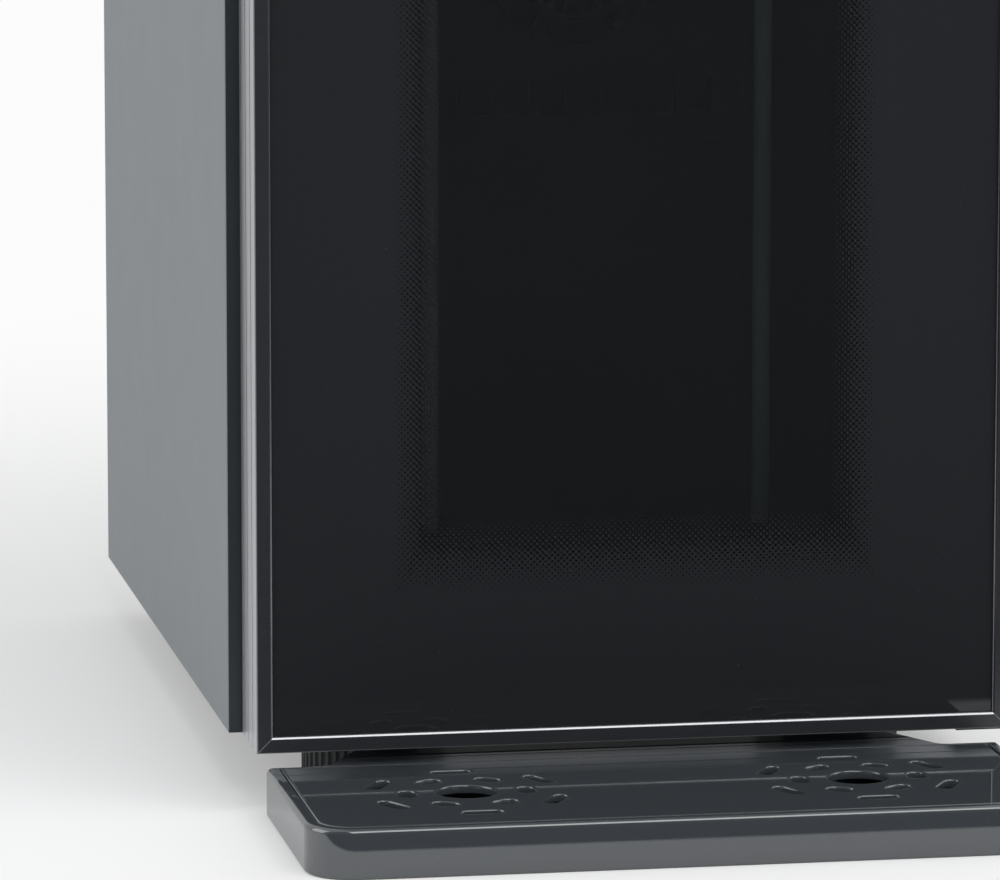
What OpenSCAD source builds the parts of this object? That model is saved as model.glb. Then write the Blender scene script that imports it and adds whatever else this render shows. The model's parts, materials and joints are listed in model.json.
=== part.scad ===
// Countertop two-bottle dispenser that serves wine by the glass and keeps it under inert gas.
// Millimetres, +Z up, the taps and the drip tray face -Y.
// The origin is on the table, in the middle of the outline seen from above.

/* [Cabinet] */
// Width over the two side panels
cabinet_w = 248; // [244:1:264]
// Height over all, from the table to the roof
total_h = 560; // [550:1:600]
// Depth of the cabinet, from its front frame to its back
cabinet_depth = 309; // [300:1:340]
// How far the fittings stand out behind the cabinet
rear_reach = 15; // [14:1:20]
// Thickness of the painted sheet panels
panel_t = 1.2; // [0.8:0.1:1.6]
// Thickness of the moulded front frame's flange
frame_lip = 2; // [1.5:0.1:2.5]
// Depth of the moulded front frame, flange included
frame_depth = 15; // [13:1:18]

/* [Feet] */
// Height of the feet, from the table to the cabinet
foot_h = 20; // [19:1:24]
// Diameter of a foot over its ribs
foot_d = 46; // [40:1:50]
// Ribs round a foot's rim
foot_ribs = 48; // [24:4:56]
// Distance of the feet from the middle plane
foot_x = 74; // [68:1:80]

/* [Door] */
// How far each cabinet side stands outside the door
door_inset = 4; // [3:0.5:5]
// Height of the door
door_h = 380; // [376:1:384]
// Thickness of the door
door_t = 32; // [31:0.5:34]
// Gap between the closed door and the front frame
door_gap = 2; // [1.8:0.1:2.5]
// Width of the black bezel round the glass
bezel_w = 5.2; // [5:0.1:7]
// Thickness of the outer glass
glass_t = 4; // [3:0.5:4]
// Thickness of the inner glass
inner_glass_t = 3; // [2:0.5:3]
// Height of the spacer between the two glasses
glazing_gap = 6.8; // [6:0.2:7]
// Radius of the hinge pins
hinge_pin_r = 2.5; // [2:0.1:2.7]

/* [Bottle chamber] */
// Distance between the two bottle axes
bottle_pitch = 108; // [104:1:112]
// Bottle axis behind the cabinet's front plane
bottle_inset = 35; // [33:1:38]
// Height of the bottles' standing face above the table
bottle_z = 60; // [58:1:62]
// Wall thickness of the moulded liner
liner_t = 2.5; // [2:0.1:3]
// Inside width of the liner
chamber_w = 212; // [206:1:214]
// Inside depth of the liner behind the front frame
chamber_depth = 104; // [100:1:112]
// Radius of the part of a stopper that goes into a bottle's neck
stopper_r = 9.2; // [8.8:0.1:9.6]
// Radius of a dip tube
dip_tube_r = 3; // [2.5:0.1:3.5]

/* [Head and taps] */
// Height of the head's underside above the table
head_z = 430; // [428:1:436]
// How far the head stands in front of the door, at its foot
head_reach = 72; // [70:1:76]
// How far the head's front face leans back over its height
head_slope = 18; // [14:1:22]
// Wall thickness of the head's shell
head_wall = 3; // [2.6:0.1:3.4]
// Distance of each spout from the middle plane
tap_x = 61.5; // [58:0.5:64]
// Distance of the spouts in front of the door
tap_reach = 44; // [42:1:46]
// Clear height of the spout tips above the drip tray
pour_h = 389.5; // [388:0.5:390]
// Radius of the bore at a spout's tip
spout_bore_r = 3; // [2.5:0.1:3.2]
// Turn of a tap lever, in degrees
lever_turn = 22; // [18:1:24]

/* [Controls] */
// Width of the glass control panel
panel_w = 196; // [180:1:204]
// Height of the glass control panel
panel_h = 56; // [52:1:58]
// Radius of a push button
button_r = 6; // [5:0.1:6.5]
// Travel of a push button
button_travel = 1; // [0.8:0.1:1.2]

/* [Drip tray] */
// Width of the drip tray
tray_w = 234; // [228:1:240]
// Depth of the drip tray in front of the door
tray_depth = 92; // [88:1:96]
// Height of the drip tray
tray_h = 15.5; // [14.5:0.5:16]
// Radius of the tray's front corners
tray_corner_r = 15; // [12:1:20]
// How far the tray's tongue reaches under the door
tongue_depth = 22; // [18:1:24]
// Width of the tongue where it leaves the tray
tongue_w = 196; // [188:1:202]
// Lean of the tongue's sides, in degrees from the width
tongue_angle = 61; // [55:1:65]
// Width of the rim round the tray's cover
rim_w = 3.8; // [3.4:0.1:4.6]
// Thickness of the tray's cover
cover_t = 2.5; // [2:0.1:3]
// Radius of the big drain hole in the middle of a rosette
rosette_hole_r = 9.5; // [8:0.5:10]
// Radius of the inner ring of drain slots
inner_ring_r = 18.5; // [17.5:0.5:19.5]
// Radius of the outer ring of drain slots
outer_ring_r = 29; // [28:0.5:30]

/* [Fits] */
// Radial clearance of every pin, plunger and shaft that moves
run_gap = 0.05; // [0.02:0.01:0.1]
// Clearance between pieces that are set into each other
set_gap = 0.1; // [0.05:0.05:0.2]

/* [Hidden] */
$fn = 64;

// Planes across the depth
total_depth = tray_depth + door_t + door_gap + cabinet_depth + rear_reach;
tray_front_y = -total_depth / 2;
door_y = tray_front_y + tray_depth;
door_back_y = door_y + door_t;
front_y = door_back_y + door_gap;
back_y = front_y + cabinet_depth;
frame_back_y = front_y + frame_depth;
bottle_y = front_y + bottle_inset;
tap_y = door_y - tap_reach;
head_front_y = door_y - head_reach;

// Planes across the width
half_w = cabinet_w / 2;
inner_half_w = half_w - panel_t - set_gap;
door_half_w = half_w - door_inset;
chamber_half_w = chamber_w / 2;
bottle_x = bottle_pitch / 2;

// Planes across the height
door_z = foot_h;
door_top_z = door_z + door_h;
door_mid_z = door_z + door_h / 2;
coaster_t = 4;
lamp_h = 5;
chamber_floor_z = bottle_z - coaster_t;
chamber_top_z = door_top_z - 6;
deck_z = door_top_z;
deck_t = 2;
deck_top_z = deck_z + deck_t;
pan_t = 3;
pan_flange_h = 14;
head_h = total_h - head_z;
head_lean = atan(head_slope / head_h);

// Feet, pegged into bosses of the base pan
foot_ys = [front_y + 25, back_y - 40];
foot_peg_r = 6;
foot_peg_h = 10;

// Cooling: the heat pump sits behind the chamber, on the middle plane
cool_z = door_mid_z + 45;
liner_back_y = frame_back_y + chamber_depth;
foam_back_y = liner_back_y + liner_t + 24;
peltier_w = 40;
peltier_t = 4;
peltier_hole = peltier_w + 2;
hot_base_t = 6;
hot_fin_h = 34;
hot_w = 100;
fan_w = 92;
fan_t = 25;
fan_y = foam_back_y + peltier_t + hot_base_t + hot_fin_h + set_gap;
cold_w = 80;
cold_h = 80;
cold_fin_h = 16;
cold_base_t = 4;
cover_front_y = liner_back_y - 42;
cover_w = 110;
cover_h = 120;
cover_wall = 2;
cold_fan_r = 27;
cold_axle_r = 1.5;
hot_hub_r = 17;
hot_axle_r = 2;

// Docks and stoppers, in the chamber's ceiling
dock_r = 16;
dock_hole_r = dock_r + 0.3;
plunger_r = 12;
plunger_rim_r = 14;
plunger_rim_t = 4;
plunger_lift = 12;
waterway_r = 1.5;
barb_h = 16;
dock_low_z = chamber_top_z - 9;
dock_top_z = deck_z + 32;
plunger_low_z = dock_low_z - 13;
plunger_top_z = deck_z + 10;
collar_r = 17;
collar_t = 6;
spigot_r = 8;
spigot_h = 11;
stopper_top_z = plunger_low_z - 1;
stopper_head_h = 11;
stopper_head_r = 14;
stopper_h = 22;
dip_low_z = bottle_z + 16;

// Gas ways above the deck
manifold_y = bottle_y + 110;
manifold_d = 26;
gas_low_z = deck_z + 12;
dock_gas_z = deck_z + 24;
barb_r = 2.5;

// Taps
spout_tip_z = tray_h + pour_h;
valve_z = head_z + head_wall + set_gap;
pivot_y = tap_y - 15;
pivot_z = head_z + 25;
hub_r = 5.5;
lever_pin_r = 2;
stem_r = 3;
collar_z = pivot_z + 7;
spring_z = collar_z + 3;
tail_reach = 18;
stem_lift = tail_reach * lever_turn * PI / 180;
valve_cap_z = spring_z + 9 + stem_lift;
valve_cap_t = 4;
valve_half_w = 11;
valve_ear_t = 2;
spout_neck_r = 6.2;

// Control panel, measured up the head's front face and out of it
panel_mid_h = head_h - 20 - panel_h / 2;
panel_out = 0.6;
panel_sink = 1.5;
display_h = panel_mid_h + 11;
button_row_h = panel_mid_h - 13;
button_xs = [-33, -11, 11, 33];
button_foot = 4;
board_depth = 12;
board_t = 1.6;
pillar_x = 50;
pillar_dh = 14;

// Section of the door's edge
profile_t = 1.6;
flange_w = 16;
flange_t = 2;
groove_w = 1;
groove_deep = 0.5;
groove_vs = [9, 19, 29];
lip_t = 1.5;
glazing_edge = bezel_w - 0.9;
glazing_back = lip_t + glass_t + glazing_gap + inner_glass_t;

// Section of the drip tray
tongue_fillet_r = 5;
floor_t = 2.5;
ledge_w = 2;
cover_door_gap = 1.2;

// Hinge axis of the door, near its right-hand edge
hinge_x = door_half_w - 5.5;
hinge_y = door_y + door_t - 10;

// Screws that hold the rear panel, and the hinge bracket's screws
screw_r = 1.6;
screw_head_r = 3.2;
screw_head_h = 2.2;
rear_flange_w = 13;
rear_screw_x = half_w - rear_flange_w / 2 - 0.5;
rear_screw_zs = [for (k = [0 : 3]) foot_h + 50 + k * (total_h - foot_h - 90) / 3];
bracket_screw_zs = [door_top_z + 10, door_top_z + 20];
bracket_x = half_w - 10;
bracket_t = 2;

// Regulator and power inlet on the back
gas_z = head_z + 45;
gas_inlet_x = 75;
gas_nut_r = 9;
gas_tube_r = 4;
knob_x = 40;
knob_r = 13;
knob_shaft_r = 3;
inlet_x = -80;
inlet_z = foot_h + 62;
inlet_half_w = 14;
inlet_half_h = 30;
socket_z = inlet_z - 15.5;
rocker_z = inlet_z + 17;
rocker_pin_r = 1.2;
rocker_tilt = 7;
rocker_half_w = 9;
rocker_half_h = 6.5;
rocker_y = back_y - 3;

// ---------- Shared shapes ----------

module block(x, y, z) {
    translate([x[0], y[0], z[0]])
        cube([x[1] - x[0], y[1] - y[0], z[1] - z[0]]);
}

module pair_x(x) {
    for (side = [-1, 1])
        translate([side * x, 0, 0])
            children();
}

module round_rect(w, h, r) {
    square([w - 2 * r, h], center = true);
    square([w, h - 2 * r], center = true);
    for (sx = [-1, 1], sy = [-1, 1])
        translate([sx * (w / 2 - r), sy * (h / 2 - r)])
            circle(r);
}

// A plate that stands across the depth, from y0 back to y1
module upright(y0, y1) {
    translate([0, y1, 0])
        rotate([90, 0, 0])
            linear_extrude(y1 - y0)
                children();
}

// A cylinder along Y, from y0 back to y1
module shaft_y(x, z, r, y0, y1) {
    translate([x, y1, z])
        rotate([90, 0, 0])
            cylinder(h = y1 - y0, r = r);
}

// A cylinder along X, from x0 to x1
module shaft_x(y, z, r, x0, x1) {
    translate([x0, y, z])
        rotate([0, 90, 0])
            cylinder(h = x1 - x0, r = r);
}

// A flat ring with its middle at the origin
module ring(outer_r, inner_r, h) {
    difference() {
        cylinder(h = h, r = outer_r);
        translate([0, 0, -1])
            cylinder(h = h + 2, r = inner_r);
    }
}

// A cylinder along Z, from z0 to z1
module shaft_z(x, y, r, z0, z1) {
    translate([x, y, z0])
        cylinder(h = z1 - z0, r = r);
}

// Points of a smooth curve through a row of points
function curve(p, steps = 4) = concat(
    [
        for (k = [0 : len(p) - 2], i = [0 : steps - 1])
            let (a = p[max(k - 1, 0)], b = p[k], c = p[k + 1], d = p[min(k + 2, len(p) - 1)])
            let (t = i / steps)
            b + 0.5 * t * ((c - a) + t * ((2 * a - 5 * b + 4 * c - d) + t * (3 * b - a - 3 * c + d)))
    ],
    [p[len(p) - 1]]
);

// A tube of radius r along a smooth curve through points that never run along X
module hose(points, r) {
    sides = 10;
    p = curve(points);
    last = len(p) - 1;
    far = len(points) - 1;
    rings = [
        for (k = [0 : last])
            let (along = k == 0 ? points[1] - points[0]
                : k == last ? points[far] - points[far - 1] : p[k + 1] - p[k - 1])
            let (t = along / norm(along), across = cross([1, 0, 0], t))
            let (u = across / norm(across), v = cross(t, u))
            for (i = [0 : sides - 1])
                p[k] + r * (cos(i * 360 / sides) * u + sin(i * 360 / sides) * v)
    ];
    polyhedron(rings, concat(
        [[for (i = [0 : sides - 1]) i], [for (i = [sides - 1 : -1 : 0]) last * sides + i]],
        [
            for (k = [0 : last - 1], i = [0 : sides - 1])
                let (j = (i + 1) % sides, a = k * sides, b = a + sides)
                [a + i, b + i, b + j, a + j]
        ]
    ));
}

function arc(c, r, a0, a1, steps = 10) =
    [for (k = [0 : steps]) let (a = a0 + (a1 - a0) * k / steps) c + r * [cos(a), sin(a)]];

// How far forward the head's sloping front face is at a height
function head_face_y(z) = head_front_y + (z - head_z) * tan(head_lean);

// Puts its children on the head's sloping front face: x across, y up the slope, z out of it
module on_head_face() {
    translate([0, head_front_y, head_z])
        rotate([90 - head_lean, 0, 0])
            children();
}

// ---------- Cabinet ----------

module foot() {
    rim_h = foot_h * 0.75;
    neck_r = 14;
    flute_r = 1;
    flute_z = 2;
    difference() {
        cylinder(h = rim_h, r = foot_d / 2, $fn = 96);
        for (k = [0 : foot_ribs - 1])
            rotate(k * 360 / foot_ribs)
                translate([foot_d / 2 + 0.2, 0, flute_z])
                    cylinder(h = rim_h, r = flute_r, $fn = 16);
    }
    cylinder(h = foot_h - set_gap, r = neck_r);
    cylinder(h = foot_h + foot_peg_h, r = foot_peg_r);
}

module feet() {
    color("#26292b")
        for (y = foot_ys)
            pair_x(foot_x)
                translate([0, y, 0])
                    foot();
}

module base_pan() {
    flange = 2;
    boss_wall = 3;
    depth = [frame_back_y + set_gap, back_y - 3];
    color("#3a3d40")
        difference() {
            union() {
                block([-inner_half_w, inner_half_w], depth, [foot_h, foot_h + pan_t]);
                for (m = [0, 1])
                    mirror([m, 0, 0])
                        block([inner_half_w - flange, inner_half_w], depth,
                            [foot_h, foot_h + pan_flange_h]);
                for (y = foot_ys)
                    pair_x(foot_x)
                        shaft_z(0, y, foot_peg_r + boss_wall, foot_h,
                            foot_h + foot_peg_h + boss_wall);
            }
            for (y = foot_ys)
                pair_x(foot_x)
                    shaft_z(0, y, foot_peg_r + set_gap, foot_h - 1, foot_h + foot_peg_h + 1);
            for (k = [-4 : 4])
                block([k * 12 - 3, k * 12 + 3], [back_y - 130, back_y - 90],
                    [foot_h - 1, foot_h + pan_t + 1]);
        }
}

module side_panel() {
    height = [foot_h, total_h - panel_t - set_gap];
    difference() {
        union() {
            block([half_w - panel_t, half_w], [front_y + frame_lip + set_gap, back_y], height);
            block([half_w - rear_flange_w, half_w], [back_y - panel_t, back_y], height);
        }
        for (z = rear_screw_zs)
            shaft_y(rear_screw_x, z, screw_r + set_gap, back_y - 5, back_y + 1);
    }
}

module side_panel_left() {
    color("#8c9194")
        mirror([1, 0, 0])
            side_panel();
}

module side_panel_right() {
    color("#8c9194")
        side_panel();
}

module front_frame() {
    color("#2e3235")
        difference() {
            union() {
                block([-half_w, half_w], [front_y, front_y + frame_lip], [foot_h, head_z - set_gap]);
                block([-inner_half_w, inner_half_w], [front_y, frame_back_y],
                    [foot_h, head_z - set_gap]);
            }
            block([-chamber_half_w, chamber_half_w], [front_y - 1, frame_back_y + 1],
                [chamber_floor_z, chamber_top_z]);
            for (z = bracket_screw_zs)
                shaft_y(bracket_x, z, screw_r + set_gap, front_y - 1, front_y + 10);
        }
}

module vent_slots(x, z, count, length, width, pitch) {
    for (k = [0 : count - 1])
        translate([x, z + (k - (count - 1) / 2) * pitch])
            round_rect(length, width, width / 2 - 0.01);
}

module rear_panel() {
    panel_y = back_y - panel_t - set_gap;
    sheet_t = 1.5;
    panel_top_z = total_h - 4;
    color("#6f7477")
        difference() {
            upright(panel_y - sheet_t, panel_y)
                difference() {
                    translate([-inner_half_w, foot_h])
                        square([2 * inner_half_w, panel_top_z - foot_h]);
                    vent_slots(0, cool_z, 13, 96, 4, 8);
                    vent_slots(45, foot_h + 60, 8, 80, 4, 8);
                    translate([inlet_x, inlet_z])
                        square([2 * inlet_half_w + 0.4, 2 * inlet_half_h + 0.4], center = true);
                    translate([gas_inlet_x, gas_z])
                        circle(gas_nut_r + 0.2);
                    translate([knob_x, gas_z])
                        circle(knob_shaft_r + 1);
                }
            for (z = rear_screw_zs)
                pair_x(rear_screw_x)
                    shaft_y(0, z, screw_r + set_gap, panel_y - 5, panel_y + 1);
        }
}

module top_cover() {
    flange_h = 14;
    flange_half_w = half_w - rear_flange_w - 1;
    color("#8c9194") {
        block([-half_w, half_w], [front_y + frame_lip + set_gap, back_y],
            [total_h - panel_t, total_h]);
        block([-flange_half_w, flange_half_w], [back_y - panel_t, back_y],
            [total_h - flange_h, total_h]);
    }
}

module deck_plate() {
    cable_hole_y = foam_back_y + 75;
    color("#b4b8bb")
        difference() {
            block([-inner_half_w, inner_half_w], [frame_back_y + set_gap, back_y - 4],
                [deck_z, deck_top_z]);
            pair_x(bottle_x)
                shaft_z(0, bottle_y, dock_hole_r, deck_z - 1, deck_top_z + 1);
            shaft_z(0, cable_hole_y, 15, deck_z - 1, deck_top_z + 1);
        }
}

module inner_liner() {
    color("#3b3f42")
        difference() {
            block([-chamber_half_w - liner_t, chamber_half_w + liner_t],
                [frame_back_y + set_gap, liner_back_y + liner_t],
                [chamber_floor_z - liner_t, chamber_top_z + liner_t]);
            block([-chamber_half_w, chamber_half_w], [frame_back_y - 1, liner_back_y],
                [chamber_floor_z, chamber_top_z]);
            pair_x(bottle_x)
                shaft_z(0, bottle_y, dock_hole_r, chamber_top_z - 1, chamber_top_z + 5);
            upright(liner_back_y - 1, liner_back_y + 5)
                translate([0, cool_z])
                    square(peltier_hole, center = true);
        }
}

module foam_insulation() {
    gap = liner_t + set_gap;
    color("#e6dfc8")
        difference() {
            block([-inner_half_w + set_gap, inner_half_w - set_gap],
                [frame_back_y + set_gap, foam_back_y],
                [foot_h + pan_flange_h + set_gap, deck_z - set_gap]);
            block([-chamber_half_w - gap, chamber_half_w + gap],
                [frame_back_y - 1, liner_back_y + gap],
                [chamber_floor_z - gap, chamber_top_z + gap]);
            pair_x(bottle_x)
                shaft_z(0, bottle_y, dock_hole_r, chamber_top_z - 1, deck_z + 1);
            upright(liner_back_y - 1, foam_back_y + 1)
                translate([0, cool_z])
                    square(peltier_hole, center = true);
        }
}

module bottle_coasters() {
    coaster_r = 42;
    color("#1d1f21")
        pair_x(bottle_x)
            difference() {
                shaft_z(0, bottle_y, coaster_r, chamber_floor_z, bottle_z);
                block([-coaster_r, coaster_r], [bottle_y - coaster_r - 1, front_y + 1],
                    [0, bottle_z + 1]);
                for (r = [14, 24, 34])
                    translate([0, bottle_y, bottle_z - 0.8])
                        ring(r + 1, r - 1, 2);
            }
}

module chamber_lamp() {
    color("#eef0e8")
        block([-90, 90], [front_y + 4, front_y + 12], [chamber_top_z - lamp_h, chamber_top_z]);
}

// ---------- Cooling ----------

module cold_sink() {
    base_y = liner_back_y - cold_base_t;
    color("#b9bec2") {
        block([-cold_w / 2, cold_w / 2], [base_y, liner_back_y],
            [cool_z - cold_h / 2, cool_z + cold_h / 2]);
        for (k = [0 : 12])
            translate([-cold_w / 2 + 1 + k * (cold_w - 2) / 12, 0, 0])
                block([-0.8, 0.8], [base_y - cold_fin_h, base_y],
                    [cool_z - cold_h / 2, cool_z + cold_h / 2]);
        block([-peltier_w / 2, peltier_w / 2], [liner_back_y, foam_back_y],
            [cool_z - peltier_w / 2, cool_z + peltier_w / 2]);
    }
}

module cold_cover() {
    half_w = cover_w / 2;
    half_h = cover_h / 2;
    wall_y = [cover_front_y, cover_front_y + cover_wall];
    inside = [half_w - cover_wall, half_h - cover_wall];
    color("#d9dcdc") {
        difference() {
            block([-half_w, half_w], [cover_front_y, liner_back_y], [cool_z - half_h, cool_z + half_h]);
            block([-inside[0], inside[0]], [wall_y[1], liner_back_y + 1],
                [cool_z - inside[1], cool_z + inside[1]]);
            shaft_y(0, cool_z, cold_fan_r + 1, wall_y[0] - 1, wall_y[1] + 1);
            for (side = [-1, 1], k = [0 : 7])
                translate([-42 + k * 12, 0, cool_z + side * 45])
                    block([-4, 4], [wall_y[0] - 1, wall_y[1] + 1], [-6, 6]);
        }
        // guard rings, spokes and the fan's axle
        for (r = [9, 19])
            translate([0, wall_y[1], cool_z])
                rotate([90, 0, 0])
                    ring(r + 1, r - 1, cover_wall);
        for (a = [0 : 60 : 300])
            translate([0, 0, cool_z])
                rotate([0, a, 0])
                    block([3, cold_fan_r + 2], wall_y, [-1, 1]);
        shaft_y(0, cool_z, 5, wall_y[0], wall_y[1]);
        shaft_y(0, cool_z, cold_axle_r, wall_y[0], wall_y[0] + 14);
    }
}

module fan_rotor(hub_r, tip_r, depth, bore_r, blades) {
    difference() {
        union() {
            rotate([-90, 0, 0])
                cylinder(h = depth, r = hub_r);
            for (k = [0 : blades - 1])
                rotate([0, k * 360 / blades, 0])
                    translate([hub_r - 1, depth / 2, 0])
                        rotate([35, 0, 0])
                            block([0, tip_r - hub_r], [-depth * 0.38, depth * 0.38], [-0.7, 0.7]);
        }
        rotate([-90, 0, 0])
            translate([0, 0, -1])
                cylinder(h = depth + 2, r = bore_r);
    }
}

module cold_fan_rotor() {
    color("#2a2d30")
        translate([0, cover_front_y + cover_wall + 1, cool_z])
            fan_rotor(9, cold_fan_r, 9, cold_axle_r + run_gap, 7);
}

module peltier_module() {
    color("#f0efe9")
        block([-peltier_w / 2, peltier_w / 2], [foam_back_y, foam_back_y + peltier_t],
            [cool_z - peltier_w / 2, cool_z + peltier_w / 2]);
}

module hot_sink() {
    base_y = foam_back_y + peltier_t;
    color("#aab0b4") {
        block([-hot_w / 2, hot_w / 2], [base_y, base_y + hot_base_t],
            [cool_z - hot_w / 2, cool_z + hot_w / 2]);
        for (k = [0 : 16])
            translate([-hot_w / 2 + 1 + k * (hot_w - 2) / 16, 0, 0])
                block([-0.8, 0.8], [base_y + hot_base_t, base_y + hot_base_t + hot_fin_h],
                    [cool_z - hot_w / 2, cool_z + hot_w / 2]);
    }
}

module hot_fan_frame() {
    screw_offset = fan_w / 2 - 5;
    arm_t = 3;
    color("#1c1e20")
        difference() {
            union() {
                difference() {
                    upright(fan_y, fan_y + fan_t)
                        translate([0, cool_z])
                            round_rect(fan_w, fan_w, 5);
                    shaft_y(0, cool_z, fan_w / 2 - 2, fan_y - 1, fan_y + fan_t + 1);
                }
                for (a = [45 : 90 : 315])
                    translate([0, 0, cool_z])
                        rotate([0, a, 0])
                            block([0, fan_w / 2], [fan_y, fan_y + arm_t], [-1.5, 1.5]);
                shaft_y(0, cool_z, hot_hub_r, fan_y, fan_y + arm_t);
                shaft_y(0, cool_z, hot_axle_r, fan_y, fan_y + fan_t - 7);
            }
            for (sx = [-1, 1], sz = [-1, 1])
                shaft_y(sx * screw_offset, cool_z + sz * screw_offset, 2,
                    fan_y - 1, fan_y + fan_t + 1);
        }
}

module hot_fan_rotor() {
    color("#34383b")
        translate([0, fan_y + 4, cool_z])
            fan_rotor(hot_hub_r, fan_w / 2 - 4, 18, hot_axle_r + run_gap, 7);
}

module power_supply() {
    supply_x = [10.7 - inner_half_w, 66.7 - inner_half_w];
    supply_y = [foam_back_y + 23.5, foot_ys[1] - 15];
    supply_z = foot_h + pan_t;
    color("#9ea3a5")
        difference() {
            block(supply_x, supply_y, [supply_z, supply_z + 120]);
            for (k = [0 : 7])
                block([supply_x[0] + 12, supply_x[1] - 12], [supply_y[1] - 1, supply_y[1] + 1],
                    [supply_z + 7 + k * 11, supply_z + 12 + k * 11]);
        }
}

// ---------- Gas and wine ways ----------

module gas_regulator() {
    body_y = [back_y - 35, back_y - 6];
    body_half_h = 15;
    nozzle_r = 7;
    color("#b9a36a")
        difference() {
            union() {
                block([knob_x - 20, gas_inlet_x + 17], body_y,
                    [gas_z - body_half_h, gas_z + body_half_h]);
                block([knob_x - 10, gas_inlet_x + 7], body_y, [deck_top_z, gas_z - body_half_h]);
                shaft_y(gas_inlet_x, gas_z, gas_nut_r, body_y[1], back_y + 5);
                shaft_y(gas_inlet_x, gas_z, nozzle_r, back_y + 5, back_y + rear_reach);
            }
            shaft_y(gas_inlet_x, gas_z, gas_tube_r + run_gap, back_y + rear_reach - 18,
                back_y + rear_reach + 1);
            shaft_y(knob_x, gas_z, knob_shaft_r + run_gap, back_y - 20, body_y[1] + 1);
        }
}

module regulator_knob() {
    grip_y = [back_y + 2, back_y + 13];
    color("#202224")
        difference() {
            union() {
                shaft_y(knob_x, gas_z, knob_shaft_r, back_y - 18, grip_y[0]);
                shaft_y(knob_x, gas_z, knob_r, grip_y[0], grip_y[1]);
            }
            for (a = [0 : 20 : 340])
                translate([knob_x, 0, gas_z])
                    rotate([0, a, 0])
                        shaft_y(knob_r + 0.4, 0, 1.1, grip_y[0] + 1, grip_y[1] + 1);
        }
}

module gas_manifold() {
    block_top_z = deck_z + 22;
    mid_y = manifold_y + manifold_d / 2;
    color("#7d8386") {
        block([-35, 35], [manifold_y, manifold_y + manifold_d], [deck_top_z, block_top_z]);
        // one solenoid and one outlet for each bottle
        pair_x(20) {
            shaft_z(0, mid_y, 9, block_top_z, block_top_z + 30);
            shaft_y(0, gas_low_z, barb_r, manifold_y - 8, manifold_y);
        }
        shaft_y(0, gas_low_z, barb_r, manifold_y + manifold_d, manifold_y + manifold_d + 8);
    }
}

module hoses() {
    wine_r = 4;
    gas_r = 3;
    wine_z = dock_top_z + barb_h;
    valve_way_z = valve_z + 10;
    inlet_y = manifold_y + manifold_d + 8;
    outlet_y = back_y - 35;
    color("#c9d2d6") {
        for (side = [-1, 1]) {
            // wine, from the dock's top to the tap valve's rear
            hose([[side * bottle_x, bottle_y, wine_z], [side * bottle_x, bottle_y, wine_z + 9],
                [side * bottle_x, bottle_y - 8, wine_z + 20],
                [side * bottle_x, bottle_y - 26, wine_z + 24],
                [side * (tap_x - 2), tap_y + 54, wine_z + 20],
                [side * tap_x, tap_y + 40, valve_way_z + 11],
                [side * tap_x, tap_y + 30, valve_way_z], [side * tap_x, tap_y + 20, valve_way_z]],
                wine_r);
            // gas, from the manifold to the dock's side
            hose([[side * 20, manifold_y - 8, gas_low_z], [side * 20, manifold_y - 22, gas_low_z],
                [side * (bottle_x - 10), bottle_y + 48, dock_gas_z - 4],
                [side * bottle_x, bottle_y + 34, dock_gas_z],
                [side * bottle_x, bottle_y + dock_r + 8, dock_gas_z]], gas_r);
        }
        // gas, from the regulator to the manifold
        hose([[0, inlet_y, gas_low_z], [0, inlet_y + 18, gas_low_z],
            [knob_x * 0.3, outlet_y - 50, gas_low_z + 16],
            [knob_x * 0.8, outlet_y - 27, gas_z - 13], [knob_x, outlet_y - 12, gas_z],
            [knob_x, outlet_y, gas_z]], gas_r);
    }
}

module dock_housing() {
    shoulder_z = plunger_top_z - plunger_rim_t - set_gap;
    difference() {
        union() {
            shaft_z(0, bottle_y, dock_r, dock_low_z, dock_top_z);
            // flange, cut flat along the front frame
            intersection() {
                shaft_z(0, bottle_y, dock_r + 8, deck_top_z, deck_top_z + 3);
                block([-dock_r - 9, dock_r + 9], [frame_back_y + 0.3, bottle_y + dock_r + 9],
                    [deck_top_z, deck_top_z + 3]);
            }
            shaft_z(0, bottle_y, 3, dock_top_z, dock_top_z + barb_h);
            shaft_y(0, dock_gas_z, barb_r, bottle_y + dock_r - 1, bottle_y + dock_r + 8);
        }
        shaft_z(0, bottle_y, plunger_r + run_gap, dock_low_z - 1, shoulder_z + 1);
        shaft_z(0, bottle_y, plunger_rim_r + run_gap, shoulder_z, plunger_top_z + plunger_lift);
        shaft_z(0, bottle_y, waterway_r, plunger_top_z, dock_top_z + barb_h + 1);
    }
}

module dock_housings() {
    color("#d4d7d8")
        pair_x(bottle_x)
            dock_housing();
}

module dock_plunger(side) {
    color("#1f2224")
        translate([side * bottle_x, 0, 0])
            difference() {
                union() {
                    shaft_z(0, bottle_y, plunger_r, plunger_low_z, plunger_top_z);
                    shaft_z(0, bottle_y, plunger_rim_r, plunger_top_z - plunger_rim_t, plunger_top_z);
                    shaft_z(0, bottle_y, collar_r, plunger_low_z, plunger_low_z + collar_t);
                    // finger tab
                    block([-7, 7], [bottle_y - collar_r - 10, bottle_y - plunger_r],
                        [plunger_low_z, plunger_low_z + 4]);
                }
                shaft_z(0, bottle_y, spigot_r + run_gap, plunger_low_z - 1,
                    plunger_low_z + spigot_h + 1);
                shaft_z(0, bottle_y, waterway_r, plunger_low_z, plunger_top_z + 1);
            }
}

module dock_plunger_left() {
    dock_plunger(-1);
}

module dock_plunger_right() {
    dock_plunger(1);
}

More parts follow.
